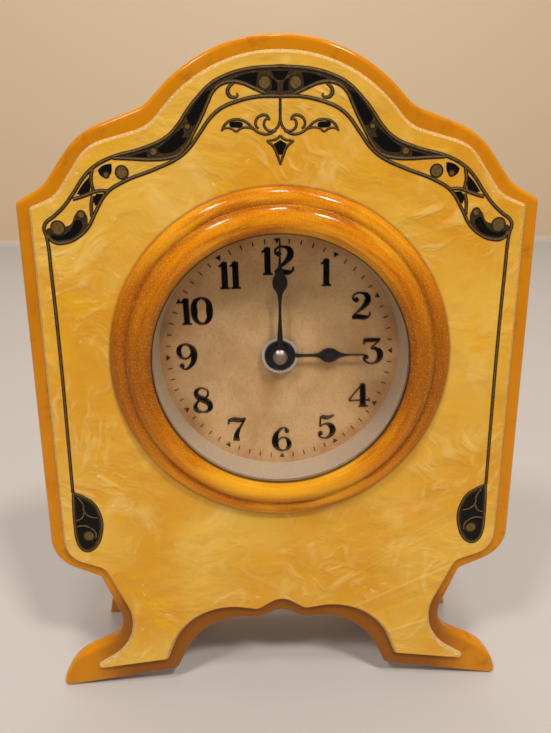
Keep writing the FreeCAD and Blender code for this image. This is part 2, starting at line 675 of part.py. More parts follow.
def wheel(teeth, module, at, name, bore, arms=wheel_arms, thickness="wheel_thickness"):
    """A brass wheel with its bore, in its own layer."""
    blank = plate(toothed_face(teeth, module, wheel_tooth_shares, at, 0, arms), thickness, layer[name])
    return cut(blank, [through(bore, at, layer[name], thickness)])


def pinion(leaves, module, at, name, phase, thickness="wheel_thickness"):
    """Leaves as long as the wheel that they meet is thick, with a margin at both ends."""
    face = toothed_face(leaves, module, leaf_tooth_shares, at, phase)
    return plate(face, f"{thickness} + 2 * pinion_margin", layer[name] - size["pinion_margin"])


def arbor(at, extras):
    """A steel arbor with a pivot in each plate."""
    shaft = rod("arbor_radius", "plate_gap - 2 * shake", at, inner_front + size["shake"])
    pivots = rod("pivot_radius", f"{movement_depth} - 2 * shake", at, front_plate + size["shake"])
    return fuse([shaft, pivots] + extras)


# Going train
centre_phase = meshed(0, great_teeth, centre_leaves, train_angles["great"] - 180)
third_phase = meshed(0, centre_teeth, third_leaves, train_angles["third"])
fourth_phase = meshed(0, third_teeth, fourth_leaves, train_angles["fourth"])
escape_phase = meshed(0, fourth_teeth, escape_leaves, train_angles["escape"])
hand_end = -size["minute_hand_height"] - size["hand_thickness"] - size["hand_nut_height"] / 2
centre_shaft = rod("centre_radius", "plate_gap - 2 * shake", centre, inner_front + size["shake"])
centre_core = rod("centre_pivot_radius",
                  "minute_hand_height + hand_thickness + 0.5 * hand_nut_height + paper_thickness"
                  f" + dial_thickness + motion_gap + {movement_depth} - shake", centre, hand_end)
great_pinion = pinion(centre_leaves, size["great_module"], centre, "great", centre_phase, "great_thickness")
node("centre_arbor", fuse([centre_shaft, centre_core, great_pinion]))
node("centre_wheel", wheel(centre_teeth, size["centre_module"], centre, "centre", "centre_radius + seat"))
node("third_arbor", arbor(third_at, [pinion(third_leaves, size["centre_module"], third_at, "centre",
                                            third_phase)]))
node("third_wheel", wheel(third_teeth, size["third_module"], third_at, "third", "arbor_radius + seat"))
node("fourth_arbor", arbor(fourth_at, [pinion(fourth_leaves, size["third_module"], fourth_at, "third",
                                              fourth_phase)]))
node("fourth_wheel", wheel(fourth_teeth, size["fourth_module"], fourth_at, "fourth", "arbor_radius + seat"))
node("escape_arbor", arbor(escape_at, [pinion(escape_leaves, size["fourth_module"], escape_at, "fourth",
                                              escape_phase)]))


def escape_face():
    """Pointed teeth on a small rim, one of them straight towards the lever."""
    points = []
    for tooth in range(escape_teeth):
        middle = train_angles["lever"] + tooth * 360 / escape_teeth
        for radius, turn_share in escape_tooth_shares:
            points.append(escape_at + polar(size[radius], middle + turn_share * 360 / escape_teeth))
    face = Part.Face(Part.makePolygon(points + points[:1]))
    return face.cut(crossings(size["escape_root"] - size["wheel_rim"] / 2, size["escape_hub"],
                              size["wheel_arm"] / 2, escape_arms, escape_at))


node("escape_wheel", cut(plate(escape_face(), "wheel_thickness", layer["escape"]),
                         [through("arbor_radius + seat", escape_at, layer["escape"], "wheel_thickness")]))

# Winding work: arbor, ratchet, click, its spring and the mainspring
click_at = great_at + polar(size["click_distance"], click_angle)
great = wheel(great_teeth, size["great_module"], great_at, "great", "winding_radius + fit", 0,
              "great_thickness")
great_back = layer["great"] + size["great_thickness"]
click_thickness = "ratchet_thickness - shake"
click_front = layer["ratchet"] + size["shake"] / 2
click_pin = rod("click_pin_radius", f"{gap_between('great', 'spring')} - great_thickness - shake",
                click_at, great_back)
node("great_wheel", fuse([great, click_pin]))

winding_end = f"{movement_depth} + cap_gap + cap_thickness + key_gap + key_hub_length"
winding_shaft = rod("winding_radius", "plate_gap - 2 * shake", great_at, inner_front + size["shake"])
winding_core = rod("winding_pivot_radius", f"{winding_end} - shake", great_at, front_plate + size["shake"])
node("winding_arbor", fuse([winding_shaft, winding_core]))

# The ratchet's upright faces look anticlockwise, and the click's nose stands before one of them:
# the arbor winds clockwise, and its spring then drives the great wheel anticlockwise
click_offset = 48
face_angle = click_angle - click_offset


def ratchet_face():
    points = []
    for tooth in range(ratchet_teeth):
        upright = face_angle + tooth * 360 / ratchet_teeth
        points += [great_at + polar(size["ratchet_radius"], upright),
                   great_at + polar(size["ratchet_root"], upright)]
    return Part.Face(Part.makePolygon(points + points[:1]))


node("ratchet_wheel", cut(plate(ratchet_face(), "ratchet_thickness", layer["ratchet"]),
                          [through("winding_radius + seat", great_at, layer["ratchet"],
                               "ratchet_thickness")]))

# Corners of the click's nose in its tooth: distance as a share from root to tip, and degrees
click_nose_shares = [(0.20, 1.5), (1.60, 1.5), (3.60, 20.0), (1.50, 24.0), (1.22, 19.0)]
tooth_depth = size["ratchet_radius"] - size["ratchet_root"]
nose = [great_at + polar(size["ratchet_root"] + share * tooth_depth, face_angle + turn)
        for share, turn in click_nose_shares]
lift_angle = math.degrees(size["click_lift"] / nose[0].distanceToPoint(click_at))


def click_faces():
    """A round boss, a tapered arm and the nose, turned clear of the ratchet as they stand at rest."""
    arm = bar_face(click_at, (nose[2] + nose[3]) / 2, 2 * size["click_boss"],
                   nose[2].distanceToPoint(nose[3]))
    faces = [disc(size["click_boss"], click_at), arm, Part.Face(Part.makePolygon(nose + nose[:1]))]
    for face in faces:
        face.rotate(click_at, V(0, 1, 0), -lift_angle)
    return faces


node("click", cut(plates(click_faces(), click_thickness, click_front),
                  [through("click_pin_radius + fit", click_at, click_front, click_thickness)]))

# Ends of the click's spring: distance as a share of the click's, and degrees from the click
click_spring_shares = [(1.40, -8), (0.93, -27)]
spring_post_at, spring_tip = [great_at + polar(size["click_distance"] * share, click_angle + turn)
                              for share, turn in click_spring_shares]
click_spring_faces = [
    disc(size["click_post_radius"], spring_post_at),
    bar_face(spring_post_at, spring_tip, size["click_spring_width"], size["click_spring_width"])]
node("click_spring", plates(click_spring_faces, f"{gap_between('great', 'ratchet')} - great_thickness"
                            " + ratchet_thickness - shake", great_back))


def mainspring_face():
    """Coils round the winding arbor, a straight tail, and an eye round one pillar."""
    post = pillars_at[hook_pillar]
    eye = size["pillar_radius"] + size["fit"] + size["spring_strip"] / 2
    outer = size["spring_outer_radius"]
    way = post - great_at
    leave = math.degrees(math.atan2(way.z, way.x) - math.acos((outer - eye) / way.Length))
    arcs = spiral(great_at, size["spring_inner_radius"], outer, mainspring_turns, leave)
    return strip_face(arcs + [(post, eye, leave, leave + 270)], size["spring_strip"])


node("mainspring", plate(mainspring_face(), "spring_width", layer["spring"]))

# Lever and balance
pallets_at = [escape_at + polar(size["pallet_circle"], train_angles["lever"] + side * pallet_spread)
              for side in (1, -1)]
fork_way = train_angles["balance"]
fork_end = lever_at + polar(size["fork_length"], fork_way)


def lever_blank():
    """Two pallet arms with their pins, a boss, and a tail that ends in a fork."""
    arms = [bar_face(lever_at, at, size["lever_width"], size["lever_width"]) for at in pallets_at]
    pads = [disc(size["lever_width"] / 2, at) for at in pallets_at]
    tail = bar_face(lever_at, fork_end, size["lever_width"], 2 * size["lever_width"])
    slot = bar_face(lever_at + polar(size["fork_length"] - size["lever_width"], fork_way),
                    lever_at + polar(size["fork_length"] + size["lever_width"], fork_way),
                    size["fork_slot"], size["fork_slot"])
    solid = cut(plates([disc(size["lever_boss"], lever_at), tail] + arms + pads, "lever_thickness",
                       layer["lever"]), [plate(slot, "lever_thickness", layer["lever"])])
    pins = [rod("pallet_pin_radius", "lever_thickness + pallet_reach", at,
                layer["lever"] - size["pallet_reach"]) for at in pallets_at]
    return fuse([solid] + pins)


node("pallet_lever", cut(lever_blank(), [through("arbor_radius + seat", lever_at, layer["lever"],
                                                 "lever_thickness")]))
node("lever_arbor", arbor(lever_at, []))


def balance_face():
    whole = disc(size["balance_radius"], balance_at)
    windows = crossings(size["balance_radius"] - size["balance_rim"], size["wheel_hub"],
                        size["wheel_arm"], balance_arms, balance_at)
    return whole.cut(windows)


node("balance_wheel", cut(plate(balance_face(), "balance_thickness", layer["balance"]),
                          [through("staff_radius + seat", balance_at, layer["balance"],
                                   "balance_thickness")]))
impulse_at = balance_at + polar(size["impulse_circle"], fork_way - 180)
impulse_pin = rod("impulse_pin_radius", f"{gap_between('roller', 'lever')} - roller_thickness - impulse_gap",
                  impulse_at, layer["roller"] + size["roller_thickness"])
staff = rod("staff_radius", "plate_gap - 2 * bearing_stand_out - 2 * shake", balance_at,
            inner_front + size["bearing_stand_out"] + size["shake"])
staff_pivots = rod("pivot_radius", "plate_gap - 2 * bearing_stand_out + 2 * bearing_depth - 2 * fit",
                   balance_at,
                   inner_front + size["bearing_stand_out"] - size["bearing_depth"] + size["fit"])
hair_collet = rod("hair_inner_radius - fit - 0.5 * hair_strip", "hair_width", balance_at, layer["hair"])
node("balance_staff", fuse([staff, staff_pivots, rod("roller_radius", "roller_thickness", balance_at,
                                                     layer["roller"]), impulse_pin, hair_collet]))


def bearing(front, bore_front):
    """A screwed bearing in one plate, bored from its inner end."""
    barrel = rod("bearing_radius", "plate_thickness + bearing_stand_out + regulator_thickness + shake",
                 balance_at, front)
    return cut(barrel, [rod("pivot_radius + fit", "bearing_depth", balance_at, bore_front)])


rear_bearing = bearing(inner_rear - size["bearing_stand_out"], inner_rear - size["bearing_stand_out"])
front_bearing = bearing(front_plate - size["regulator_thickness"] - size["shake"],
                        inner_front + size["bearing_stand_out"] - size["bearing_depth"])
node("balance_bearings", group([front_bearing, rear_bearing]))

hair_arcs = spiral(balance_at, size["hair_inner_radius"], size["hair_outer_radius"], hairspring_turns,
                   hair_end_angle)
node("hairspring", plate(strip_face(hair_arcs, size["hair_strip"]), "hair_width", layer["hair"]))
hair_to_back = f"plate_gap - {layer_shares['hair']} * plate_gap + plate_thickness"
node("hairspring_stud", rod("hair_post_radius", hair_to_back, hair_post_at, layer["hair"]))

# Regulator: a ring round the rear bearing, an arm, two curb pins and a post through the cap
regulator_front = rear_back + size["fit"]
regulator_post_at = balance_at + polar(size["regulator_reach"], regulator_angle)


def regulator():
    arm = plates([disc(size["regulator_ring"], balance_at),
                  disc(size["regulator_width"] / 2, regulator_post_at),
                  bar_face(balance_at, regulator_post_at, size["regulator_ring"],
                           size["regulator_width"])],
                 "regulator_thickness", regulator_front)
    post = rod("regulator_post_radius", "cap_gap + cap_thickness + regulator_stand_out - fit",
               regulator_post_at, regulator_front)
    stand_off = size["hair_strip"] / 2 + size["curb_gap"] + size["curb_pin_radius"]
    pins = [rod("curb_pin_radius", hair_to_back + " + fit + regulator_thickness",
                balance_at + polar(size["hair_outer_radius"] + side * stand_off, regulator_angle),
                layer["hair"]) for side in (-1, 1)]
    return cut(fuse([arm, post] + pins),
               [through("bearing_radius + fit", balance_at, regulator_front, "regulator_thickness")])


node("regulator", regulator())

# Motion work. Layers are counted back from the dial plate.
hour_front = dial_back + size["motion_gap"] * motion_shares["hour"]
minute_front = dial_back + size["motion_gap"] * motion_shares["minute"]
minute_phase = meshed(0, cannon_leaves, minute_teeth, train_angles["minute"])
set_phase = meshed(minute_phase, minute_teeth, set_leaves, train_angles["setting"])
hour_phase = meshed(0, minute_leaves, hour_teeth, train_angles["minute"] - 180)


def motion_pinion(leaves, module, at, phase):
    face = toothed_face(leaves, module, leaf_tooth_shares, at, phase)
    return plate(face, "wheel_thickness + pinion_margin", minute_front - size["pinion_margin"] / 2)


cannon_pipe = rod("cannon_radius", "minute_hand_height + paper_thickness + dial_thickness"
                  f" + {motion_shares['minute']} * motion_gap", centre, -size["minute_hand_height"])
cannon_pinion = motion_pinion(cannon_leaves, size["motion_module"], centre, 0)
cannon_bore = rod("centre_pivot_radius + seat", "plate_gap", centre,
                  -size["minute_hand_height"] - size["overrun"])
node("cannon_pinion", cut(fuse([cannon_pipe, cannon_pinion]), [cannon_bore]))

minute_wheel = plate(toothed_face(minute_teeth, size["motion_module"], wheel_tooth_shares, minute_at,
                                  minute_phase, minute_wheel_arms), "wheel_thickness", minute_front)
minute_pinion = plate(toothed_face(minute_leaves, hour_module, leaf_tooth_shares, minute_at, 0),
                      f"{motion_shares['pinion']} * motion_gap",
                      minute_front - motion_shares["pinion"] * size["motion_gap"])
stud_bore = rod("minute_stud_radius + fit", "2 * motion_gap", minute_at, dial_back - size["overrun"])
node("minute_wheel", cut(fuse([minute_wheel, minute_pinion]), [stud_bore]))
node("minute_stud", rod("minute_stud_radius", "motion_gap + plate_thickness - shake", minute_at,
                        dial_back + size["shake"]))

hour_wheel = plate(toothed_face(hour_teeth, hour_module, wheel_tooth_shares, centre, hour_phase),
                   "wheel_thickness", hour_front)
hour_pipe = rod("pipe_radius", "hour_hand_height + hand_thickness + paper_thickness + dial_thickness"
                f" + {motion_shares['hour']} * motion_gap + 0.5 * wheel_thickness", centre,
                -size["hour_hand_height"] - size["hand_thickness"])
pipe_bore = rod("cannon_radius + fit", "plate_gap", centre, -size["hour_hand_height"] - size["overrun"])
node("hour_wheel", cut(fuse([hour_wheel, hour_pipe]), [pipe_bore]))

set_length = (f"motion_gap - {motion_shares['minute']} * motion_gap + 0.5 * pinion_margin"
              f" + {movement_depth} + cap_gap + cap_thickness + key_gap + knob_length")
node("set_arbor", rod("set_radius", set_length, setting_at, minute_front - size["pinion_margin"] / 2))
node("set_pinion", cut(motion_pinion(set_leaves, size["motion_module"], setting_at, set_phase),
                       [through("set_radius + seat", setting_at, minute_front, "wheel_thickness")]))


# Hands
def hand_faces(shares, length, boss, way):
    """A pear-shaped hand, with a thin stem, a full bulb and a drawn-out tip, and its boss."""
    ends = []
    for side in (1, -1):
        ends.append([polar(along * length, way) + polar(side * half * length, way + 90)
                     for along, half in shares])
    curves = []
    for points in ends:
        curve = Part.BSplineCurve()
        curve.interpolate(points)
        curves.append(curve.toShape())
    caps = [Part.LineSegment(ends[0][i], ends[1][i]).toShape() for i in (0, -1)]
    return [Part.Face(Part.Wire(Part.__sortEdges__(curves + caps))), disc(boss)]


hands = {
    "hour_hand": (hour_hand_shares, "hour_hand_length", "hour_boss_radius", "pipe_radius", 0),
    "minute_hand": (minute_hand_shares, "minute_hand_length", "minute_boss_radius",
                    "centre_pivot_radius", 90),
}
for name, (shares, length, boss, bore, way) in hands.items():
    front = -size[name + "_height"] - size["hand_thickness"]
    blade = plates(hand_faces(shares, size[length], size[boss], way), "hand_thickness", front)
    node(name, cut(blade, [through(bore + " + seat", centre, front, "hand_thickness")]))
collet_profile = [("pipe_radius + seat", "0"), ("collet_radius", "0"),
                  ("collet_radius", "collet_thickness"), ("pipe_radius + seat", "collet_thickness")]
node("hour_collet", turned("hour_collet", collet_profile, centre,
                           size["collet_thickness"] - size["hour_hand_height"], turned_front))
nut_bore = "centre_pivot_radius + seat"
nut_profile = [(nut_bore, "0"), ("hand_nut_radius", "0"), ("hand_nut_radius", "hand_nut_collar",
               "2 * hand_nut_radius"), ("0.2 * hand_nut_radius", "hand_nut_height"),
               ("0", "hand_nut_height"), ("0", "0.6 * hand_nut_height"),
               (nut_bore, "0.6 * hand_nut_height")]
node("hand_nut", turned("hand_nut", nut_profile, centre,
                        -size["minute_hand_height"] - size["hand_thickness"], turned_front))


# Key and knob
def winding_key():
    """A hub with two flat wings, each with an eye."""
    hub_front = cap_back + size["key_gap"]
    wing_y = hub_front + size["key_hub_length"] + size["key_hub_radius"]
    hub = rod("key_hub_radius", "key_hub_length + key_hub_radius", great_at, hub_front)
    wings, eyes = [], []
    for side in (-1, 1):
        middle = V(great_at.x + side * size["key_wing_offset"], wing_y, great_at.z)
        for radius, height, kept in (("key_wing_radius", "key_thickness", wings),
                                     ("key_eye_radius", "key_thickness + 2 * overrun", eyes)):
            lobe = bind(doc.addObject("Part::Cylinder", "Lobe"), Radius=radius, Height=height)
            lobe.Placement = FreeCAD.Placement(middle - V(0, 0, value(height) / 2), FreeCAD.Rotation())
            kept.append(lobe)
    web = block("2 * key_wing_offset", "key_web", "key_thickness",
                V(great_at.x - size["key_wing_offset"], wing_y - size["key_web"] / 2,
                  great_at.z - size["key_thickness"] / 2))
    socket = rod("winding_pivot_radius + seat", "key_hub_length + overrun", great_at,
                 hub_front - size["overrun"])
    return cut(fuse([hub, web] + wings), eyes + [socket])


def set_knob():
    """A fluted knob on a short collar."""
    collar_end = "knob_collar_length"
    full = f"{collar_end} + knob_length"
    profile = [("set_radius + seat", "0"), ("knob_collar_radius", "0"), ("knob_collar_radius", collar_end),
               ("knob_radius", collar_end), ("knob_radius", f"{full} - knob_edge"),
               ("knob_radius - knob_edge", full), ("0", full), ("0", "knob_length"),
               ("set_radius + seat", "knob_length")]
    y = cap_back + size["key_gap"]
    blank = turned("set_knob", profile, setting_at, y, turned_back)
    flutes = []
    for i in range(flute_count):
        at = setting_at + polar(size["knob_radius"] + size["flute_radius"] - size["flute_depth"],
                                i * 360 / flute_count)
        flutes.append(rod("flute_radius", "knob_length + overrun", at, y + size["knob_collar_length"]))
    return cut(blank, flutes)


node("winding_key", winding_key())
node("set_knob", set_knob())


# Rear stand
def across(radius, length, middle):
    """A cylinder along x, about its middle."""
    cylinder = bind(doc.addObject("Part::Cylinder", "Cross"), Radius=radius, Height=length)
    cylinder.Placement = FreeCAD.Placement(middle - V(value(length) / 2, 0, 0),
                                           FreeCAD.Rotation(V(0, 1, 0), 90))
    return cylinder


def rear_stand():
    """A flat strut: narrow at the pin, waisted, then flared to two feet with an arch between them."""
    swing = math.radians(stand_angle)
    half = size["stand_thickness"] / 2
    clear = size["stand_pivot_depth"] - size["bracket_thickness"] - size["stand_stop_gap"]
    rise = (clear - half * math.cos(swing)) / math.sin(swing)
    top = size["stand_half_width"]
    right = [(top, rise, size["stand_corner"]), (top, -size["bracket_fall"], size["stand_thickness"])]
    right += [(across_share * size["stand_foot_reach"], -down_share * stand_length,
               radius_share * size["stand_foot_reach"])
              for across_share, down_share, radius_share in stand_corner_shares]
    strut = plate(rounded_face(mirrored(right)), "stand_thickness", 0)
    turn = FreeCAD.Rotation(V(1, 0, 0), stand_angle)
    strut.Placement = FreeCAD.Placement(pin_at + turn.multVec(V(0, -half, 0)), turn)
    return cut(strut, [across("stand_pin_radius + fit", "4 * stand_half_width", pin_at), table()])


def stand_bracket():
    """A base plate with two ears that hold the pin."""
    ear_x = size["stand_half_width"] + size["bracket_gap"]
    outer = ear_x + size["bracket_thickness"]
    base = block("2 * stand_half_width + 2 * bracket_gap + 2 * bracket_thickness", "bracket_thickness",
                 "bracket_rise + bracket_fall",
                 V(-outer, base_back, pin_at.z - size["bracket_fall"]))
    ears = []
    for x in (-outer, ear_x):
        ears.append(block("bracket_thickness", "stand_pivot_depth", "2 * bracket_ear",
                          V(x, base_back, pin_at.z - size["bracket_ear"])))
        middle = V(x + size["bracket_thickness"] / 2, pin_at.y, pin_at.z)
        ears.append(across("bracket_ear", "bracket_thickness", middle))
    holes = [across("stand_pin_radius + fit", "4 * stand_half_width", pin_at)]
    holes += [through(screw_hole, at, base_back, "bracket_thickness") for at in bracket_screws_at]
    return cut(fuse([base] + ears), holes)


pin_length = "2 * stand_half_width + 2 * bracket_gap + 2 * bracket_thickness + 2 * fit"
head_x = value(pin_length) / 2 + size["stand_pin_head_length"] / 2
pin_pieces = [across("stand_pin_radius", pin_length, pin_at)]
pin_pieces += [across("stand_pin_head", "stand_pin_head_length", pin_at + V(side * head_x, 0, 0))
               for side in (-1, 1)]
node("rear_stand", rear_stand())
node("stand_bracket", stand_bracket())
node("stand_pin", fuse(pin_pieces))
node("bracket_screws", group([screw(at, base_back + size["bracket_thickness"])
                              for at in bracket_screws_at]))

# Lean everything back, and set it down with the middle of its depth over the origin
doc.recompute()
leaning = FreeCAD.Placement(V(0, 0, 0), FreeCAD.Rotation(V(1, 0, 0), -lean_angle))
depths = []
for feature in nodes.values():
    shape = feature.Shape.copy()
    shape.Placement = leaning.multiply(shape.Placement)
    box = shape.optimalBoundingBox(False)
    depths += [box.YMin, box.YMax]
setting_down = V(0, -(min(depths) + max(depths)) / 2, -table_level)
leaning.Base = setting_down
for feature in nodes.values():
    feature.Placement = leaning.multiply(feature.Placement)
doc.recompute()

for feature in doc.Objects:
    assert "Invalid" not in feature.State and "Error" not in feature.State, feature.Name
for name, feature in nodes.items():
    assert not feature.Shape.isNull() and feature.Shape.isValid() and feature.Shape.Solids, name
    feature.Shape.exportStep(f"parts/{name}.step")

# Where the axes come to lie, for whoever writes down the joints
axes = {"centre": centre, "great_wheel": great_at, "click": click_at, "third": third_at,
        "fourth": fourth_at, "escape": escape_at, "lever": lever_at, "balance": balance_at,
        "minute": minute_at, "setting": setting_at, "stand": pin_at}
for name, at in axes.items():
    point = leaning.multVec(at)
    print("axis", name, round(point.x, 4), round(point.y, 4), round(point.z, 4))
print("stand angle", round(stand_angle, 4), "click lift angle", round(lift_angle, 4))
print("nodes", len(nodes))
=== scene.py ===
import math
import bmesh
import bpy
import json
from mathutils import Matrix, Vector


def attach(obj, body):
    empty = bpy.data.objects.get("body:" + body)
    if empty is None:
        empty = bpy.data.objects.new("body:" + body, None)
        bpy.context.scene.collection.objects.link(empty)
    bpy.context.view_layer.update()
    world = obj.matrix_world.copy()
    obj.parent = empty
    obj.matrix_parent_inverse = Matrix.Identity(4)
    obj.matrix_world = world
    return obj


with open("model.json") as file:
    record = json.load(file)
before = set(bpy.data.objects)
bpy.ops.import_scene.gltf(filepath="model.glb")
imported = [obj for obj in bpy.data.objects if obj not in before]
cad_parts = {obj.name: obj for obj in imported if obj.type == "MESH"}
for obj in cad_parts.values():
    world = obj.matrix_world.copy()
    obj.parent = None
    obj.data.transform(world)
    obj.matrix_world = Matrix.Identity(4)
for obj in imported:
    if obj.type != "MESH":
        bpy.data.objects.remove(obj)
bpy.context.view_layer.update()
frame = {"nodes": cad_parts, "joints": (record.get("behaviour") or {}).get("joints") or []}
nodes = frame["nodes"]

# The clock's own frame, in millimetres from the dial's centre: x right, y back, z up along the leaning front
centreJoint = next(joint for joint in frame["joints"] if joint["name"] == "centre_turn")
dialCentre = Vector(centreJoint["pos_m"])
backward = Vector(centreJoint["axis"])
lean = math.atan2(backward.z, backward.y)
millimetre = 0.001
clockToWorld = (Matrix.Translation(dialCentre) @ Matrix.Rotation(lean, 4, "X")
                @ Matrix.Scale(millimetre, 4))


# Material tools
def colour(red, green, blue):
    # sRGB from 0 to 255, as linear light
    def linear(value):
        value /= 255
        return value / 12.92 if value <= 0.04045 else ((value + 0.055) / 1.055) ** 2.4
    return (linear(red), linear(green), linear(blue), 1)


class Finish:
    # A material with its Principled shader, and short ways to add nodes that feed it
    def __init__(self, name, **sockets):
        self.material = bpy.data.materials.new(name)
        self.material.use_nodes = True
        self.tree = self.material.node_tree
        self.shader = self.tree.nodes["Principled BSDF"]
        for socket, value in sockets.items():
            self.shader.inputs[socket.replace("_", " ")].default_value = value
        self.material.diffuse_color = self.shader.inputs["Base Color"].default_value

    def node(self, kind, inputs=(), **settings):
        made = self.tree.nodes.new("ShaderNode" + kind)
        for setting, value in settings.items():
            setattr(made, setting, value)
        for socket, value in dict(inputs).items():
            self.feed(made.inputs[socket], value)
        return made

    def feed(self, socket, value):
        if isinstance(value, bpy.types.NodeSocket):
            self.tree.links.new(value, socket)
        else:
            socket.default_value = value

    def give(self, socket, value):
        self.feed(self.shader.inputs[socket], value)

    def place(self):
        # Object coordinates turned into the clock's frame, in millimetres
        here = self.node("TexCoord").outputs["Object"]
        turn = Matrix.Rotation(-lean, 3, "X")
        return self.node("Mapping", {"Vector": here, "Location": -(turn @ dialCentre) / millimetre,
                                     "Rotation": (-lean, 0, 0),
                                     "Scale": (1 / millimetre,) * 3}).outputs["Vector"]

    def mapped(self, where, turn=0.0, stretch=(1, 1, 1)):
        # A place stretched, then turned about the dial's axis
        return self.node("Mapping", {"Vector": where, "Rotation": (0, turn, 0),
                                     "Scale": stretch}).outputs["Vector"]

    def noise(self, where, scale, detail=3, roughness=0.5, distortion=0):
        made = self.node("TexNoise", {"Vector": where, "Scale": scale, "Detail": detail,
                                      "Roughness": roughness, "Distortion": distortion})
        return made.outputs["Fac"]

    def maths(self, operation, first, second=0.0):
        return self.node("Math", {0: first, 1: second}, operation=operation).outputs[0]

    def product(self, first, *others):
        for other in others:
            first = self.maths("MULTIPLY", first, other)
        return first

    def vectors(self, operation, first, second=(0, 0, 0)):
        second = {"Scale" if operation == "SCALE" else 1: second}
        made = self.node("VectorMath", {0: first, **second}, operation=operation)
        givesNumber = operation in ("LENGTH", "DISTANCE", "DOT_PRODUCT")
        return made.outputs["Value" if givesNumber else "Vector"]

    def parts(self, where):
        return self.node("SeparateXYZ", {"Vector": where}).outputs

    def range(self, value, low, high, toLow=0.0, toHigh=1.0):
        made = self.node("MapRange", {"Value": value, "From Min": low, "From Max": high,
                                      "To Min": toLow, "To Max": toHigh}, interpolation_type="SMOOTHSTEP")
        return made.outputs["Result"]

    def blend(self, share, first, second):
        made = self.node("Mix", data_type="RGBA")
        self.feed(made.inputs[0], share)
        self.feed(made.inputs[6], first)
        self.feed(made.inputs[7], second)
        return made.outputs[2]

    def tint(self, base, tone, value, low, high, share=1.0):
        # The tone lies over the base as the value goes from low to high, up to its share
        return self.blend(self.range(value, low, high, 0, share), base, tone)

    def bump(self, height, strength, distance, under=None):
        made = self.node("Bump", {"Height": height, "Strength": strength, "Distance": distance})
        if under is not None:
            self.feed(made.inputs["Normal"], under)
        self.give("Normal", made.outputs["Normal"])
        return made.outputs["Normal"]

    def acrossAxis(self, where):
        parts = self.parts(where)
        return self.node("CombineXYZ", {"X": parts["X"], "Z": parts["Z"]}).outputs[0]

    def radius(self, where):
        # Distance from the dial's axis, in millimetres
        return self.vectors("LENGTH", self.acrossAxis(where))

    def around(self, where, share=1.0):
        # A place that moves slowly round the dial's axis and quickly out from it
        flat = self.acrossAxis(where)
        way = self.vectors("SCALE", self.vectors("NORMALIZE", flat), share)
        out = self.node("CombineXYZ", {"Y": self.vectors("LENGTH", flat)}).outputs[0]
        return self.vectors("ADD", way, out)


# Amber celluloid: deep orange with darker clouds, soiled in places, and painted shade round the arch, where
# less light comes through. Ranges on the plate are in millimetres from the dial's centre.
amberLook = {
    "face": colour(212, 134, 0), "cloud": colour(178, 94, 0), "shade": colour(138, 78, 14),
    "clouds": 0.45, "soil": 0.45, "archShade": 0.9, "archBelow": (-50.0, -58.0), "archWithin": (46.0, 34.0),
    "depth": 0.2, "gloss": 0.22, "roughness": (0.07, 0.20), "waves": 0.10,
}
# The turned ring: streaks run round it, with painted highlights above and below, painted shade on its sides,
# in its groove, on its lip and at its rim, and a painted shadow in the gap at the lip. Its places are radii
# in millimetres, and the other numbers are shares.
ringLook = {
    "face": colour(224, 132, 0), "streak": colour(178, 94, 0), "shadeAndGrain": colour(138, 66, 0),
    "highlightAndGrain": colour(255, 184, 36), "gapShadow": colour(34, 20, 8),
    "gapShadowAt": (25.3, 24.95), "lipAt": (26.4, 25.0), "lowHighlightAt": (29.4, 27.8), "grooveAt": 30.1,
    "grooveHalf": 1.3, "rimAt": (32.8, 33.2), "sideShade": 0.75, "gleam": 0.6, "lowHighlight": 0.55,
}


def plateAmber(finish, where):
    look = amberLook
    cloud = finish.noise(where, 0.05, 4, 0.5, 0.6)
    base = finish.tint(look["face"], look["cloud"], cloud, 0.42, 0.80, look["clouds"])
    parts = finish.parts(where)
    # painted shade: the plate is darker low down round the arch, between the legs
    low = finish.range(parts["Z"], *look["archBelow"])
    inner = finish.range(finish.maths("ABSOLUTE", parts["X"]), *look["archWithin"])
    base = finish.blend(finish.product(low, inner, look["archShade"]), base, look["shade"])
    # real soil in smudges, in the same colour
    return finish.tint(base, look["shade"], finish.noise(where, 0.24, 6, 0.7), 0.52, 0.72, look["soil"])


def ringAmber(finish, where):
    look = ringLook
    radius = finish.radius(where)
    up = finish.parts(finish.around(where))["Z"]
    tall = finish.maths("ABSOLUTE", up)
    streaks = finish.noise(finish.around(where, 2.2), 0.9, 4, 0.55, 0.3)
    base = finish.tint(look["face"], look["streak"], streaks, 0.36, 0.70, 0.8)
    # painted shade in the groove, on the inner slope to the lip and at the outer rim
    offGroove = finish.maths("ABSOLUTE", finish.maths("SUBTRACT", radius, look["grooveAt"]))
    base = finish.tint(base, look["shadeAndGrain"], offGroove, look["grooveHalf"], 0.0, 0.6)
    base = finish.tint(base, look["shadeAndGrain"], radius, *look["lipAt"], 0.6)
    base = finish.tint(base, look["shadeAndGrain"], radius, *look["rimAt"], 0.5)
    # painted shade on the ring's sides, lighter towards its top and bottom
    base = finish.tint(base, look["shadeAndGrain"], tall, 0.85, 0.1, look["sideShade"])
    # painted highlights gleam at the ring's top and bottom
    gleam = finish.range(finish.noise(finish.around(where, 4.0), 0.5), 0.42, 0.70)
    gleam = finish.product(gleam, finish.range(tall, 0.4, 0.95, 0.15, 1), look["gleam"])
    base = finish.blend(gleam, base, look["highlightAndGrain"])
    # the material's own grain, in lighter and darker flecks
    grain = finish.noise(where, 3.4, 3, 0.7)
    base = finish.tint(base, look["highlightAndGrain"], grain, 0.50, 0.68, 0.4)
    base = finish.tint(base, look["shadeAndGrain"], grain, 0.46, 0.30, 0.35)
    # painted highlight on the inner bead at the bottom
    lowHighlight = finish.product(finish.range(up, -0.70, -0.95), finish.range(radius, *look["lowHighlightAt"]))
    base = finish.blend(finish.product(lowHighlight, look["lowHighlight"]), base, look["highlightAndGrain"])
    # painted shadow in the gap at the lip
    return finish.tint(base, look["gapShadow"], radius, *look["gapShadowAt"], 0.9)


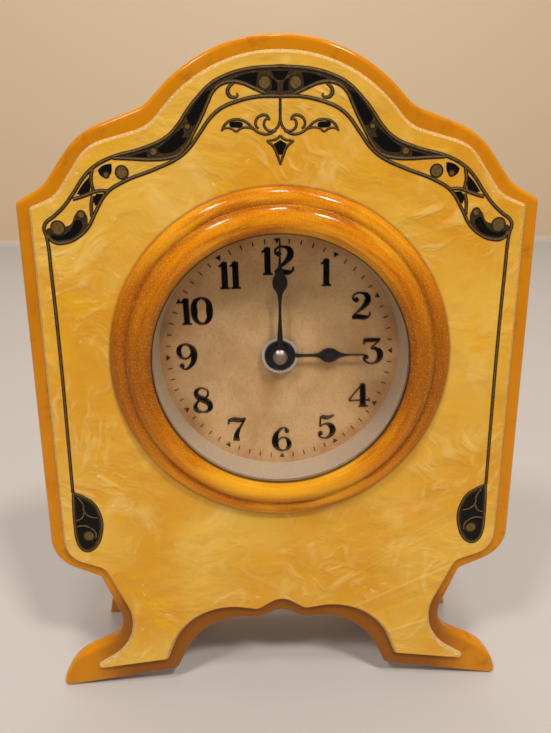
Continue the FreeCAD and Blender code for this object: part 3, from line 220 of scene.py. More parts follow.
def amber(name, painting):
    finish = Finish(name, Base_Color=amberLook["face"], Roughness=0.16, IOR=1.5,
                    Subsurface_Weight=amberLook["depth"], Subsurface_Radius=(0.0035, 0.0012, 0.0002),
                    Subsurface_Scale=1.0, Specular_IOR_Level=amberLook["gloss"])
    where = finish.place()
    finish.give("Base Color", painting(finish, where))
    scuffs = finish.noise(where, 1.4, 4, 0.6)
    finish.give("Roughness", finish.range(scuffs, 0.35, 0.75, *amberLook["roughness"]))
    finish.bump(finish.noise(where, 0.35), amberLook["waves"], 0.0003)
    return finish.material


# Pearl celluloid: folded sheets of cream and honey, with short fibres that lie in patches, painted bright as
# a sheen
pearlLook = {
    "honeyAndShade": colour(224, 158, 32), "cream": colour(232, 180, 66), "milkAndSheen": colour(248, 210, 124),
    "gold": colour(234, 172, 10), "glint": colour(255, 240, 200), "edge": colour(232, 192, 122),
    "soil": colour(150, 96, 36), "depth": 0.12, "gloss": 0.32, "warp": 12.0,
    # how each lie of fibres is turned and stretched
    "lies": ((0.62, (0.07, 0.4, 0.55)), (-0.6, (0.09, 0.4, 0.65)), (1.35, (0.1, 0.4, 0.6))),
    "fibres": 0.42, "glints": 0.6, "smudges": 0.3, "ringShadeAt": 33.2, "ringShade": 0.6,
    # straight creases fan out from a point past the left foot, and show at the lower right, painted with a
    # highlight along them and shade beside them
    "creaseFrom": (-60.0, 0, -95.0), "creaseBelow": (-6.0, -24.0), "creaseRightOf": (2.0, 16.0),
    "satin": (0.10, 0.3, 0.22), "relief": 0.42, "reliefHeight": 0.0009,
}


def pearlFolds(finish, where):
    # The place pushed about, so that a pattern drawn there bends
    wander = finish.node("TexNoise", {"Vector": where, "Scale": 0.07, "Detail": 2.0}).outputs["Color"]
    push = finish.vectors("SCALE", finish.vectors("ADD", wander, (-0.5, -0.5, -0.5)), pearlLook["warp"])
    return finish.vectors("ADD", where, push)


def pearlShine(finish, folded):
    # Painted sheen: each patch has its own lie, so its fibres are painted bright or dull together
    shine = 0.0
    for turn, stretch in pearlLook["lies"]:
        turned = finish.mapped(folded, turn)
        patch = finish.noise(turned, 0.075)
        fibre = finish.noise(finish.mapped(turned, stretch=stretch), 1.0)
        lit = finish.product(finish.range(patch, 0.47, 0.74), finish.range(fibre, 0.44, 0.70))
        shine = finish.maths("MAXIMUM", lit, shine)
    return shine


def pearlCreases(finish, where):
    # The creases' rays, and the share with which they show
    look = pearlLook
    away = finish.vectors("SUBTRACT", where, look["creaseFrom"])
    fan = finish.node("CombineXYZ", {"X": finish.parts(finish.around(away))["Z"]}).outputs[0]
    parts = finish.parts(where)
    lie = finish.product(finish.range(parts["Z"], *look["creaseBelow"]),
                         finish.range(parts["X"], *look["creaseRightOf"]))
    return finish.noise(fan, 26.0, 3, 0.6), lie


def pearl(name):
    look = pearlLook
    finish = Finish(name, Base_Color=look["cream"], Roughness=0.22, IOR=1.5, Subsurface_Weight=look["depth"],
                    Subsurface_Radius=(0.0015, 0.0008, 0.0003), Subsurface_Scale=1.0,
                    Specular_IOR_Level=look["gloss"])
    where = finish.place()
    folded = pearlFolds(finish, where)
    shine = pearlShine(finish, folded)
    mottle = finish.noise(where, 0.9, 5, 0.7)
    base = finish.tint(look["honeyAndShade"], look["cream"], finish.noise(folded, 0.04), 0.36, 0.64)
    base = finish.tint(base, look["gold"], finish.noise(folded, 0.06, 3, 0.5, 0.8), 0.56, 0.74, 0.8)
    # painted sheen on the fibres, over the pearl's own pattern
    base = finish.tint(base, look["milkAndSheen"], shine, 0, 0.9, look["fibres"])
    base = finish.tint(base, look["milkAndSheen"], finish.noise(folded, 0.10, 4, 0.55), 0.54, 0.74, 0.4)
    base = finish.tint(base, look["milkAndSheen"], mottle, 0.54, 0.85, 0.25)
    # small glints where a fold catches the light
    flash = finish.noise(finish.mapped(folded, 0.5, (0.35, 0.5, 0.9)), 1.0, 4, 0.7)
    spread = finish.noise(where, 0.055, 2)
    glints = finish.product(finish.range(flash, 0.60, 0.74), finish.range(spread, 0.48, 0.64), look["glints"])
    base = finish.blend(glints, base, look["glint"])
    rays, lie = pearlCreases(finish, where)
    # painted highlight along each crease, and painted shade beside it
    crease = finish.product(finish.range(rays, 0.56, 0.70), lie)
    base = finish.blend(finish.product(crease, 0.4), base, look["milkAndSheen"])
    base = finish.blend(finish.product(finish.range(rays, 0.44, 0.34), lie, 0.6), base, look["honeyAndShade"])
    base = finish.tint(base, look["soil"], finish.noise(where, 0.16, 6, 0.7), 0.60, 0.80, look["smudges"])
    # painted shade in a thin ring round the bezel's foot, in the soil colour
    offRing = finish.maths("ABSOLUTE", finish.maths("SUBTRACT", finish.radius(where), look["ringShadeAt"]))
    base = finish.tint(base, look["soil"], offRing, 0.6, 0.1, look["ringShade"])
    # the cut edge is milky and stippled, and a little soiled
    facing = finish.vectors("DOT_PRODUCT", finish.node("NewGeometry").outputs["Normal"], -backward)
    cutEdge = finish.range(facing, 0.98, 0.80)
    stipple = finish.range(finish.noise(where, 3.4, 3, 0.75), 0.42, 0.62)
    edge = finish.blend(finish.product(stipple, 0.55), look["edge"], look["soil"])
    finish.give("Base Color", finish.blend(cutEdge, base, edge))
    finish.give("Roughness", finish.maths("ADD", finish.range(mottle, 0.3, 0.8, 0.14, 0.28),
                                          finish.product(cutEdge, 0.22)))
    # a satin relief that comes and goes, with the fibres and creases on it
    satin = finish.noise(finish.mapped(folded, 0.5, look["satin"]), 1.0, 3, 0.55)
    satin = finish.product(satin, finish.range(finish.noise(where, 0.07, 2), 0.36, 0.62, 0.35, 1.5))
    folds = finish.maths("ADD", finish.product(shine, 0.4), finish.product(crease, 0.5))
    wavy = finish.bump(finish.maths("ADD", satin, folds), look["relief"], look["reliefHeight"])
    finish.bump(finish.product(cutEdge, stipple), 0.5, 0.00012, wavy)
    return finish.material


# The dial's paper, with painted shade towards its rim under the bezel's wall, and a stain below the centre
paperLook = {
    "paper": colour(214, 174, 124), "aged": colour(194, 150, 98), "stainAndShade": colour(166, 112, 66),
    "fleck": colour(134, 98, 60), "rimShade": (25, 31), "stainAt": (-2.0, 0.0, -6.2), "stainReach": (3.2, 0.6),
}


def paper(name):
    look = paperLook
    finish = Finish(name, Base_Color=look["paper"], Roughness=0.75, Specular_IOR_Level=0.25)
    where = finish.place()
    cloud = finish.noise(where, 0.10, 5, 0.6, 0.4)
    fibres = finish.noise(where, 1.8, 6, 0.8)
    rim = finish.maths("ADD", finish.radius(where), finish.product(cloud, 9.0))
    spot = finish.vectors("DISTANCE", where, look["stainAt"])
    base = finish.tint(look["paper"], look["aged"], cloud, 0.36, 0.70)
    # painted shade towards the rim
    base = finish.tint(base, look["stainAndShade"], rim, *look["rimShade"], 0.55)
    base = finish.tint(base, look["stainAndShade"], spot, *look["stainReach"], 0.4)
    finish.give("Base Color", finish.tint(base, look["fleck"], fibres, 0.48, 0.68, 0.5))
    finish.bump(fibres, 0.12, 0.00005)
    return finish.material


# Clear glass, with a faint haze of scratches in its gloss
glassLook = {"index": 1.15, "alpha": 0.1, "haze": (0.0, 0.006)}


def glass(name):
    finish = Finish(name, Base_Color=(1, 1, 1, 1), Roughness=0.02, IOR=glassLook["index"],
                    Transmission_Weight=1.0, Alpha=glassLook["alpha"])
    scratches = finish.noise(finish.place(), 0.5, 4, 0.6)
    finish.give("Roughness", finish.range(scratches, 0.5, 0.8, *glassLook["haze"]))
    return finish.material


# Metals with a grain, a second colour where they are worn, and marks in their gloss
metalLooks = {
    "sightGrey": {"base": (190, 172, 148), "worn": (150, 130, 104), "roughness": 0.45, "scale": 2.2,
                  "metallic": 0.15},
    "nickelPlate": {"base": (206, 202, 194), "worn": (160, 152, 138), "roughness": 0.26, "scale": 0.4,
                    "bump": 0.06},
    "collarNickel": {"base": (158, 142, 128), "worn": (96, 80, 68), "roughness": 0.38, "scale": 1.2},
    "drumTin": {"base": (190, 182, 166), "worn": (140, 124, 98), "roughness": 0.36, "scale": 0.22,
                "stretch": (1, 0.4, 1)},
    "cutBrass": {"base": (214, 172, 92), "worn": (160, 116, 52), "roughness": 0.28, "scale": 1.0},
    "brightSteel": {"base": (188, 188, 190), "worn": (120, 118, 116), "roughness": 0.26, "scale": 1.5},
    "blueSteel": {"base": (46, 52, 78), "worn": (88, 66, 58), "roughness": 0.3, "scale": 1.0},
    "blackHand": {"base": (26, 22, 22), "worn": (70, 58, 52), "roughness": 0.34, "scale": 1.6,
                  "metallic": 0.5},
}


def metal(name, base, worn, roughness, scale, stretch=(1, 1, 1), metallic=1.0, bump=0.12):
    finish = Finish(name, Base_Color=colour(*base), Metallic=metallic, Roughness=roughness)
    where = finish.mapped(finish.place(), stretch=stretch)
    marks = finish.noise(where, scale, 5, 0.65, 0.2)
    finish.give("Base Color", finish.tint(colour(*base), colour(*worn), marks, 0.45, 0.80, 0.55))
    finish.give("Roughness", finish.range(marks, 0.3, 0.8, roughness * 0.75, min(1, roughness * 1.5)))
    finish.bump(finish.noise(where, scale * 5, 3, 0.6), bump, 0.00004)
    return finish.material


# Print and paint that has worn in flecks. The lower the gaps number, the more is worn.
inkLooks = {
    "dialInk": {"base": (10, 7, 5), "worn": (44, 30, 18), "roughness": 0.7, "gaps": 0.84},
    "blackEnamel": {"base": (9, 7, 5), "worn": (34, 28, 20), "roughness": 0.25, "gaps": 0.84},
    "bronzeLine": {"base": (112, 86, 44), "worn": (70, 50, 22), "roughness": 0.4, "gaps": 0.62},
    "brownLine": {"base": (48, 34, 14), "worn": (88, 66, 34), "roughness": 0.4, "gaps": 0.74},
    "bronzeBand": {"base": (58, 44, 22), "worn": (100, 80, 46), "roughness": 0.4, "gaps": 0.66},
}


def ink(name, base, worn, roughness, gaps):
    finish = Finish(name, Base_Color=colour(*base), Roughness=roughness, Specular_IOR_Level=0.15)
    flecks = finish.noise(finish.place(), 2.8, 4, 0.7)
    finish.give("Base Color", finish.tint(colour(*base), colour(*worn), flecks, gaps - 0.12, gaps))
    finish.give("Roughness", finish.range(flecks, 0.3, 0.7, roughness * 0.8, roughness * 1.2))
    finish.bump(flecks, 0.1, 0.00003)
    return finish.material


finishes = {
    "amberPlate": amber("amberPlate", plateAmber),
    "amberRing": amber("amberRing", ringAmber),
    "pearlSheet": pearl("pearlSheet"),
    "dialPaper": paper("dialPaper"),
    "crystalGlass": glass("crystalGlass"),
}
finishes.update({name: metal(name, **look) for name, look in metalLooks.items()})
finishes.update({name: ink(name, **look) for name, look in inkLooks.items()})
nodeFinishes = {
    "amberPlate": ["back_plate", "rear_stand"],
    "amberRing": ["bezel"],
    "pearlSheet": ["front_overlay"],
    "dialPaper": ["dial_paper"],
    "crystalGlass": ["crystal"],
    "sightGrey": ["sight_ring"],
    "collarNickel": ["hand_nut"],
    "nickelPlate": ["hour_collet", "back_cap", "cap_nuts", "set_knob", "winding_key",
                    "bracket_screws", "flange_screws", "stand_bracket", "stand_pin"],
    "drumTin": ["drum", "dial_plate"],
    "cutBrass": ["front_movement_plate", "rear_movement_plate", "movement_pillars", "centre_wheel",
                 "third_wheel", "fourth_wheel", "great_wheel", "minute_wheel", "hour_wheel", "set_pinion",
                 "hairspring_stud", "balance_wheel", "regulator", "escape_wheel"],
    "brightSteel": ["centre_arbor", "third_arbor", "fourth_arbor", "escape_arbor", "winding_arbor",
                    "lever_arbor", "balance_staff", "balance_bearings", "cannon_pinion", "set_arbor",
                    "minute_stud", "pillar_nuts", "pallet_lever", "ratchet_wheel", "click"],
    "blueSteel": ["mainspring", "hairspring", "click_spring"],
    "blackHand": ["hour_hand", "minute_hand"],
}
for finishName, pieceNames in nodeFinishes.items():
    for pieceName in pieceNames:
        pieceMesh = nodes[pieceName].data
        pieceMesh.materials.clear()
        pieceMesh.materials.append(finishes[finishName])
unfinished = set(nodes) - {pieceName for pieceNames in nodeFinishes.values() for pieceName in pieceNames}
print("materials done, nodes without one:", sorted(unfinished))


# Flat work that lies on a plane of the clock: inlay and print are drawn as x and z in millimetres
drawing = {"curveSteps": 6, "ballSides": 24, "weld": 0.002}


def curvePoints(data, points, closed, cornerAt=()):
    # Each point is x, z and, on a ribbon, its width
    spline = data.splines.new("BEZIER")
    spline.bezier_points.add(len(points) - 1)
    for number, (point, values) in enumerate(zip(spline.bezier_points, points)):
        point.co = (values[0], values[1], 0)
        point.radius = values[2] if len(values) > 2 else 1
        kind = "VECTOR" if number in cornerAt else "AUTO"
        point.handle_left_type = point.handle_right_type = kind
    spline.use_cyclic_u = closed
    spline.resolution_u = drawing["curveSteps"]
    return spline


def meshOf(data):
    # The curve as a mesh, drawn flat in x and y
    holder = bpy.data.objects.new("drawing", data)
    bpy.context.scene.collection.objects.link(holder)
    bpy.context.view_layer.update()
    made = bpy.data.meshes.new_from_object(holder.evaluated_get(bpy.context.evaluated_depsgraph_get()))
    bpy.data.objects.remove(holder)
    bpy.data.curves.remove(data)
    return made


def fills(shapes):
    # Filled outlines. Each shape is its points and the numbers of its corners.
    data = bpy.data.curves.new("fills", "CURVE")
    data.dimensions, data.fill_mode = "2D", "BOTH"
    for points, corners in shapes:
        curvePoints(data, points, True, corners)
    return meshOf(data)


def strokes(lines):
    # Ribbons that lie flat: a curve's upright band, one unit tall, is tilted over and scaled by the widths
    data = bpy.data.curves.new("strokes", "CURVE")
    data.dimensions, data.twist_mode = "3D", "Z_UP"
    data.extrude = 0.5
    for points in lines:
        for point in curvePoints(data, points, False).bezier_points:
            point.tilt = math.pi / 2
    return meshOf(data)


def dots(circles):
    solid = bmesh.new()
    for x, z, radius in circles:
        bmesh.ops.create_circle(solid, cap_ends=True, segments=drawing["ballSides"], radius=radius,
                                matrix=Matrix.Translation((x, z, 0)))
    made = bpy.data.meshes.new("dots")
    solid.to_mesh(made)
    solid.free()
    return made


def vertsOf(geometry):
    return [part for part in geometry if isinstance(part, bmesh.types.BMVert)]


def layFlat(name, meshes, front, thick, finishName, mirror=False, turn=0.0):
    # Gives flat drawings a thickness behind the plane y = front, so they sink a little into what carries them
    solid = bmesh.new()
    for mesh in meshes:
        solid.from_mesh(mesh)
        bpy.data.meshes.remove(mesh)
    bmesh.ops.remove_doubles(solid, verts=solid.verts, dist=drawing["weld"])
    if mirror:
        other = bmesh.ops.duplicate(solid, geom=solid.verts[:] + solid.edges[:] + solid.faces[:])["geom"]
        bmesh.ops.scale(solid, vec=(-1, 1, 1), verts=vertsOf(other))
    for face in solid.faces:
        if face.normal.z < 0:
            face.normal_flip()
    raised = bmesh.ops.extrude_face_region(solid, geom=solid.faces[:])["geom"]
    bmesh.ops.translate(solid, vec=(0, 0, thick), verts=vertsOf(raised))
    bmesh.ops.recalc_face_normals(solid, faces=solid.faces)
    upright = Matrix.Rotation(turn, 4, "Y") @ Matrix.Rotation(math.pi / 2, 4, "X")
    stand = Matrix.Translation((0, front + thick, 0)) @ upright
    bmesh.ops.transform(solid, matrix=clockToWorld @ stand, verts=solid.verts)
    mesh = bpy.data.meshes.new(name)
    solid.to_mesh(mesh)
    solid.free()
    mesh.materials.append(finishes[finishName])
    piece = bpy.data.objects.new(name, mesh)
    bpy.context.scene.collection.objects.link(piece)
    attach(piece, "root")


# Ornament: bronze scrolls with black enamel between them, drawn for the right half and mirrored. It lies on
# the overlay's face, at y = on, in four layers. Each has how far it stands out, and its thickness.
inlay = {
    "on": -7.0,
    "band": (0.02, 0.06), "enamel": (0.035, 0.06), "brown": (0.05, 0.08), "bronze": (0.065, 0.08),
    "brownWidth": 0.66, "bronzeWidth": 0.26, "fineBrown": 0.46, "fineBronze": 0.14, "dropBronze": 0.3,
    "ballBrown": 0.1, "ballBronze": -0.2,
}
borderLine = [(0, 52.6), (6, 52.1), (10, 50.9), (12, 49.8), (14, 48), (16, 45.8), (18, 43.2),
              (20, 41.4), (24, 39.7), (30, 38.1), (33, 36.6), (35, 34.8), (37, 32.2), (39, 29.9),
              (41, 28.2), (42.4, 27.2), (42.9, 26.2), (42.6, 24.6), (42.55, 18), (42.8, 0),
              (43.2, -14), (43.6, -27.5)]
# each shape is its outline, and the numbers of the points that are corners
ornament = {
    "band": ([(0, 52.4), (6, 51.9), (10, 50.7), (12, 49.6), (14, 47.8), (16, 45.6), (18, 43),
              (20, 41.2), (24, 39.5), (29.5, 38.1), (26, 37.9), (23, 37.8), (20, 38), (18, 38.6),
              (16.3, 40.3), (14.8, 42.8), (13.5, 45), (12.5, 47), (11.3, 49), (9.5, 50.1),
              (7, 50.1), (4.4, 49.1), (2.5, 48.4), (0, 48.1)],
             (0, 9, 23)),
    "crescent": ([(34.9, 27.6), (35.2, 28.7), (36.2, 29.1), (37.1, 28.5), (38, 26.9), (39.3, 26.4),
                  (41, 25.8), (42.2, 26.2), (42.6, 25), (41.8, 23.9), (39.4, 23.6), (37, 24.5),
                  (35.4, 26)], ()),
    "drop": ([(43.5, -27.6), (41.3, -28.7), (39.8, -29.9), (38.8, -31.9), (38.3, -34.5),
              (38.7, -37.5), (39.7, -40), (41.1, -41.4), (42.3, -41.6), (43.3, -40.8),
              (43.9, -38.9), (44, -35.5), (43.8, -30.8)],
             (0,)),
}
blackShapes = [
    ([(0, 51.95), (1.5, 51.9), (1.1, 51.1), (0.35, 50.5), (0, 50.45)], (0, 1, 4)),
    ([(0.5, 48.8), (0.5, 49.9), (1.1, 50.6), (2.0, 50.8), (1.5, 50.1), (1.4, 49.4), (1.7, 48.9)], (0, 3, 6)),
    ([(3.7, 51.7), (5.6, 51.5), (8.6, 50.5), (7, 50.35), (5.4, 49.95), (4.1, 49.35), (4, 50.5)], (0, 2, 5)),
    ([(11.6, 49.3), (13.7, 47.9), (15.1, 46.2), (16.3, 44.7), (16, 44), (15.1, 43.3), (13.85, 44.6),
      (12.9, 46.4), (12, 48.05)], (0, 3)),
    ([(17, 43.1), (18.8, 41.7), (20.3, 40.5), (21.5, 39.7), (21.3, 39), (20.1, 38.85), (18.4, 39.3),
      (17, 40.4), (16.1, 41.4), (17.3, 41.4), (16.7, 42.1)], (0, 3, 8, 9, 10)),
    ([(23.4, 39.1), (24.8, 38.8), (26.4, 38.35), (25, 38.1), (23.5, 38.1)], (0, 2, 4)),
    ([(29.8, 37.2), (31.2, 36.9), (32.3, 36.1), (31.9, 35.2), (30.9, 34.8), (30.1, 35.4),
      (29.8, 36.3)], (0, 2)),
    ([(33.9, 35), (35.1, 33.8), (36.4, 32.1), (35.1, 31.9), (33.9, 32.7)], (0, 2, 4)),
    ([(31.5, 32.1), (32.9, 32.15), (33.55, 31.2), (33.3, 30), (32.4, 30.7)], (0, 1, 3)),
    ([(36, 27.2), (37.1, 27.6), (37.7, 26.6), (38.9, 25.3), (40.4, 24.8), (41.9, 25.2),
      (41.5, 24.3), (39.7, 24.1), (37.8, 24.6), (36.4, 25.7)], (5,)),
    ([(6.5, 43.45), (7.7, 43.95), (8.9, 43.5), (7.8, 42.95)], ()),
    ([(0, 40.95), (1.1, 40.35), (0.75, 39.4), (0.25, 38.6), (0, 38.5)], (0, 1, 4)),
    ([(43.2, -28.5), (41.5, -29.3), (40.1, -30.4), (39.2, -32.2), (38.8, -34.6), (39.2, -37.4),
      (40.1, -39.6), (41.2, -40.9), (42.2, -41.1), (43.1, -40.3), (43.5, -38.6), (43.6, -35.5),
      (43.4, -31.2)], (0,)),
]
# each ball is x, z and its radius
bronzeBalls = [(2.65, 50.1, 1.15), (22.3, 39.1, 0.75), (28.1, 35.7, 1.15), (30.9, 35.3, 0.55),
               (40.4, 26.2, 1.3), (36, 28.5, 0.75), (16.2, 43.2, 0.6), (41.3, -37.9, 1.2)]
scrolls = [
    [(0, 48), (4, 47.9), (8, 47), (10, 46.2), (12, 44.7), (14, 42.2), (16, 39.7), (18, 38.1),
     (22, 36.3), (28, 34.1), (31, 32.3), (33.4, 28.9), (34.9, 26.4), (37.1, 24.5), (39.4, 23.6),
     (41.4, 23.7), (42.5, 24.9)],
    [(2.5, 48.4), (4.4, 49.2), (7, 50.15), (9.5, 50.1), (11.3, 49), (12.5, 47), (13.5, 45),
     (14.8, 42.8), (16.3, 40.3), (18, 38.6), (20, 38), (23, 37.8), (26, 37.95), (29.5, 38.1)],
    [(33.3, 36.2), (33.65, 34.4), (33.4, 32.6)],
    [(30.9, 32.6), (32.7, 32.6), (34.2, 32.1), (36, 31.5), (37.2, 31.2)],
    [(33.6, 31.8), (34, 30.2), (34.1, 28.1)],
]
fineScrolls = [
    [(8, 50, 1), (8.9, 49.2, 1.4), (8.9, 48.3, 1.6), (8.1, 47.8, 1.2), (7.3, 48.1, 0.8),
     (7.5, 48.5, 0.5)],
    [(0, 48, 1), (0, 45.5, 1), (0.1, 44, 1), (0.6, 42.9, 1), (1.6, 42.4, 1), (2.6, 42.9, 1),
     (2.8, 43.8, 1), (2.3, 44.4, 0.9), (1.75, 44.2, 0.6)],
    [(1.8, 44.4, 0.6), (2.4, 44.95, 1), (3.4, 44.9, 1.1), (4.2, 44.2, 1), (4.25, 43.3, 1),
     (3.8, 42.8, 0.8)],
    [(0.7, 42.5, 0.8), (2.2, 41.9, 1), (3.8, 42.2, 1), (4.9, 43, 1), (6, 43.9, 1), (7.4, 44.3, 1),
     (8.7, 44.1, 1), (9.7, 43.4, 1), (10.3, 42.4, 0.6)],
    [(4.6, 42.8, 1), (6, 43, 0.8), (7, 42.8, 0.8), (7.7, 42.35, 0.8), (8.4, 42.75, 0.8),
     (9.6, 42.9, 0.8), (10.3, 42.4, 0.5)],
    [(0, 41.7, 0.9), (0.6, 41.15, 1), (2.4, 40.8, 0.7)],
    [(2.4, 40.8, 0.7), (1.2, 39.9, 1.2), (0.5, 38.4, 1.2), (0, 36.8, 0.6)],
]
dropLines = [
    [(42.7, -28.7, 0.7), (41.8, -30.3, 1), (41.7, -32.1, 1), (40.5, -33.3, 1), (39, -33.6, 0.7)],
    [(41.7, -32.1, 1), (42.4, -33.6, 1), (43.7, -34.2, 0.8)],
    [(43.6, -35.6, 0.8), (42.4, -35.4, 1), (40.9, -35.9, 1), (39.8, -37.2, 1), (39.9, -38.6, 0.7)],
]


def widened(lines, width):
    return [[(x, z, width * (shares[0] if shares else 1)) for x, z, *shares in line] for line in lines]


def balls(more):
    return dots([(x, z, radius + more) for x, z, radius in bronzeBalls])


def layInlay(name, layer, meshes, finishName):
    standsOut, thick = inlay[layer]
    layFlat(name, meshes, inlay["on"] - standsOut, thick, finishName, True)


dropOutline = ornament["drop"][0]
heavyLines = [borderLine] + scrolls + [dropOutline + dropOutline[:1]]
brownLines = widened(heavyLines, inlay["brownWidth"]) + widened(fineScrolls, inlay["fineBrown"])
bronzeLines = (widened(heavyLines, inlay["bronzeWidth"]) + widened(fineScrolls, inlay["fineBronze"])
               + widened(dropLines, inlay["dropBronze"]))
layInlay("ornament_bronze_band", "band", [fills(ornament.values())], "bronzeBand")
layInlay("ornament_enamel", "enamel", [fills(blackShapes)], "blackEnamel")
layInlay("ornament_brown_line", "brown", [strokes(brownLines), balls(inlay["ballBrown"])], "brownLine")
layInlay("ornament_bronze_line", "bronze", [strokes(bronzeLines), balls(inlay["ballBronze"])], "bronzeLine")
print("ornament done")

# Dial print, on the paper's face at y = 0. The whole dial sits turned by about a degree.
dialPrint = {"standsOut": 0.02, "thick": 0.05, "turn": math.radians(-1.14)}
numeral = {"height": 5.5, "circle": 19.3, "weight": 1.35, "hairline": 0.06, "ball": 0.2}
# Each numeral is its width, its strokes and its balls, in shares of its height from the lower left corner.
# A stroke's points are x, z and the stroke's width there.
digits = {
    "0": (0.78, [
        [(0.39, 0.99, 0.05), (0.62, 0.84, 0.14), (0.67, 0.5, 0.2), (0.62, 0.16, 0.14),
         (0.39, 0.01, 0.05), (0.16, 0.16, 0.14), (0.11, 0.5, 0.2), (0.16, 0.84, 0.14),
         (0.39, 0.99, 0.05)],
    ], []),
    "1": (0.40, [
        [(0.22, 0.02, 0.17), (0.22, 0.5, 0.17), (0.22, 0.97, 0.17)],
        [(0.02, 0.8, 0.03), (0.14, 0.88, 0.05), (0.24, 0.99, 0.06)],
        [(0.04, 0.02, 0.04), (0.4, 0.02, 0.04)],
    ], []),
    "2": (0.76, [
        [(0.22, 0.7, 0.1), (0.1, 0.8, 0.05), (0.2, 0.95, 0.05), (0.42, 0.98, 0.06),
         (0.63, 0.86, 0.16), (0.64, 0.66, 0.19), (0.48, 0.44, 0.12), (0.24, 0.24, 0.06),
         (0.08, 0.07, 0.04)],
        [(0.08, 0.06, 0.1), (0.3, 0.09, 0.15), (0.55, 0.06, 0.14), (0.7, 0.1, 0.07),
         (0.76, 0.26, 0.03)],
    ], [(0.23, 0.73)]),
    "3": (0.76, [
        [(0.08, 0.93, 0.13), (0.4, 0.93, 0.13), (0.7, 0.95, 0.09)],
        [(0.09, 0.98, 0.04), (0.07, 0.76, 0.03)],
        [(0.68, 0.94, 0.05), (0.5, 0.76, 0.05), (0.34, 0.6, 0.05)],
        [(0.34, 0.59, 0.05), (0.54, 0.58, 0.11), (0.69, 0.42, 0.19), (0.67, 0.19, 0.17),
         (0.46, 0.02, 0.06), (0.2, 0.06, 0.05), (0.08, 0.24, 0.05), (0.18, 0.33, 0.05)],
    ], [(0.17, 0.27)]),
    "4": (0.86, [
        [(0.6, 0.97, 0.05), (0.3, 0.62, 0.04), (0.04, 0.28, 0.05)],
        [(0.04, 0.27, 0.06), (0.86, 0.27, 0.06)],
        [(0.6, 0.02, 0.18), (0.59, 0.5, 0.18), (0.58, 0.96, 0.16)],
        [(0.42, 0.02, 0.04), (0.8, 0.02, 0.04)],
        [(0.84, 0.21, 0.03), (0.83, 0.37, 0.03)],
    ], []),
    "5": (0.74, [
        [(0.2, 0.92, 0.13), (0.42, 0.88, 0.13), (0.7, 0.97, 0.05)],
        [(0.17, 0.95, 0.05), (0.13, 0.5, 0.04)],
        [(0.13, 0.5, 0.04), (0.34, 0.61, 0.07), (0.58, 0.52, 0.17), (0.64, 0.3, 0.19),
         (0.5, 0.07, 0.11), (0.28, 0.01, 0.05), (0.09, 0.14, 0.05), (0.16, 0.27, 0.05)],
    ], [(0.16, 0.22)]),
    "6": (0.78, [
        [(0.64, 0.88, 0.06), (0.5, 0.98, 0.05), (0.28, 0.86, 0.1), (0.13, 0.56, 0.18),
         (0.14, 0.24, 0.18), (0.32, 0.03, 0.08), (0.48, 0.01, 0.05), (0.65, 0.14, 0.13),
         (0.67, 0.36, 0.15), (0.52, 0.55, 0.07), (0.32, 0.52, 0.05), (0.22, 0.36, 0.04)],
    ], [(0.6, 0.84)]),
    "7": (0.76, [
        [(0.08, 0.9, 0.1), (0.28, 0.93, 0.16), (0.52, 0.9, 0.15), (0.74, 0.97, 0.06)],
        [(0.08, 0.97, 0.03), (0.06, 0.74, 0.03)],
        [(0.72, 0.95, 0.05), (0.52, 0.62, 0.07), (0.37, 0.34, 0.14), (0.33, 0.02, 0.2)],
    ], []),
    "8": (0.80, [
        [(0.62, 0.9, 0.06), (0.4, 0.99, 0.05), (0.18, 0.86, 0.12), (0.21, 0.68, 0.17),
         (0.44, 0.52, 0.2), (0.66, 0.34, 0.19), (0.68, 0.15, 0.14), (0.4, 0.01, 0.05),
         (0.13, 0.15, 0.15), (0.17, 0.38, 0.08), (0.4, 0.54, 0.05), (0.62, 0.7, 0.07),
         (0.62, 0.9, 0.06)],
    ], []),
}
width, lines, ends = digits["6"]
digits["9"] = (width, [[(width - x, 1 - z, stroke) for x, z, stroke in line] for line in lines],
               [(width - x, 1 - z) for x, z in ends])


def numeralDrawing():
    size = numeral["height"]
    numberLines, numberBalls = [], []
    for hour in range(1, 13):
        text = str(hour)
        around = math.radians(hour * 30)
        left = numeral["circle"] * math.sin(around) - sum(digits[letter][0] for letter in text) * size / 2
        low = numeral["circle"] * math.cos(around) - size / 2
        for letter in text:
            width, lines, ends = digits[letter]
            for line in lines:
                numberLines.append([(left + x * size, low + z * size,
                                     max(stroke, numeral["hairline"]) * size * numeral["weight"])
                                    for x, z, stroke in line])
            numberBalls += [(left + x * size, low + z * size, numeral["ball"] * size / 2) for x, z in ends]
            left += width * size
    return [strokes(numberLines), dots(numberBalls)]


# Minute track: dashes, with a triangle that points inwards at each hour
track = {"inner": 22.6, "outer": 23.6, "dash": 0.24, "triangle": 1.3}


def trackDrawing():
    minuteDashes, hourMarks = [], []
    for minute in range(60):
        around = math.radians(minute * 6)
        out = Vector((math.sin(around), math.cos(around)))
        inner, outer = out * track["inner"], out * track["outer"]
        side = Vector((out.y, -out.x)) * track["triangle"] / 2
        if minute % 5:
            minuteDashes.append([(*inner, track["dash"]), (*outer, track["dash"])])
        else:
            hourMarks.append(([tuple(inner), tuple(outer + side), tuple(outer - side)], (0, 1, 2)))
    return [strokes(minuteDashes), fills(hourMarks)]


for name, meshes in (("dial_numerals", numeralDrawing()), ("minute_track", trackDrawing())):
    layFlat(name, meshes, -dialPrint["standsOut"], dialPrint["thick"], "dialInk",
            turn=dialPrint["turn"])
print("dial print done")

# Floor and wall in one sheet, with a narrow bend where they meet
room = {
    "wallAt": 0.60, "side": 1.6, "near": -1.0, "high": 1.3, "bend": 0.008, "bendSteps": 12,
    "floor": colour(190, 184, 178), "wall": colour(216, 192, 160), "turnsWallAt": (0.002, 0.006),
}


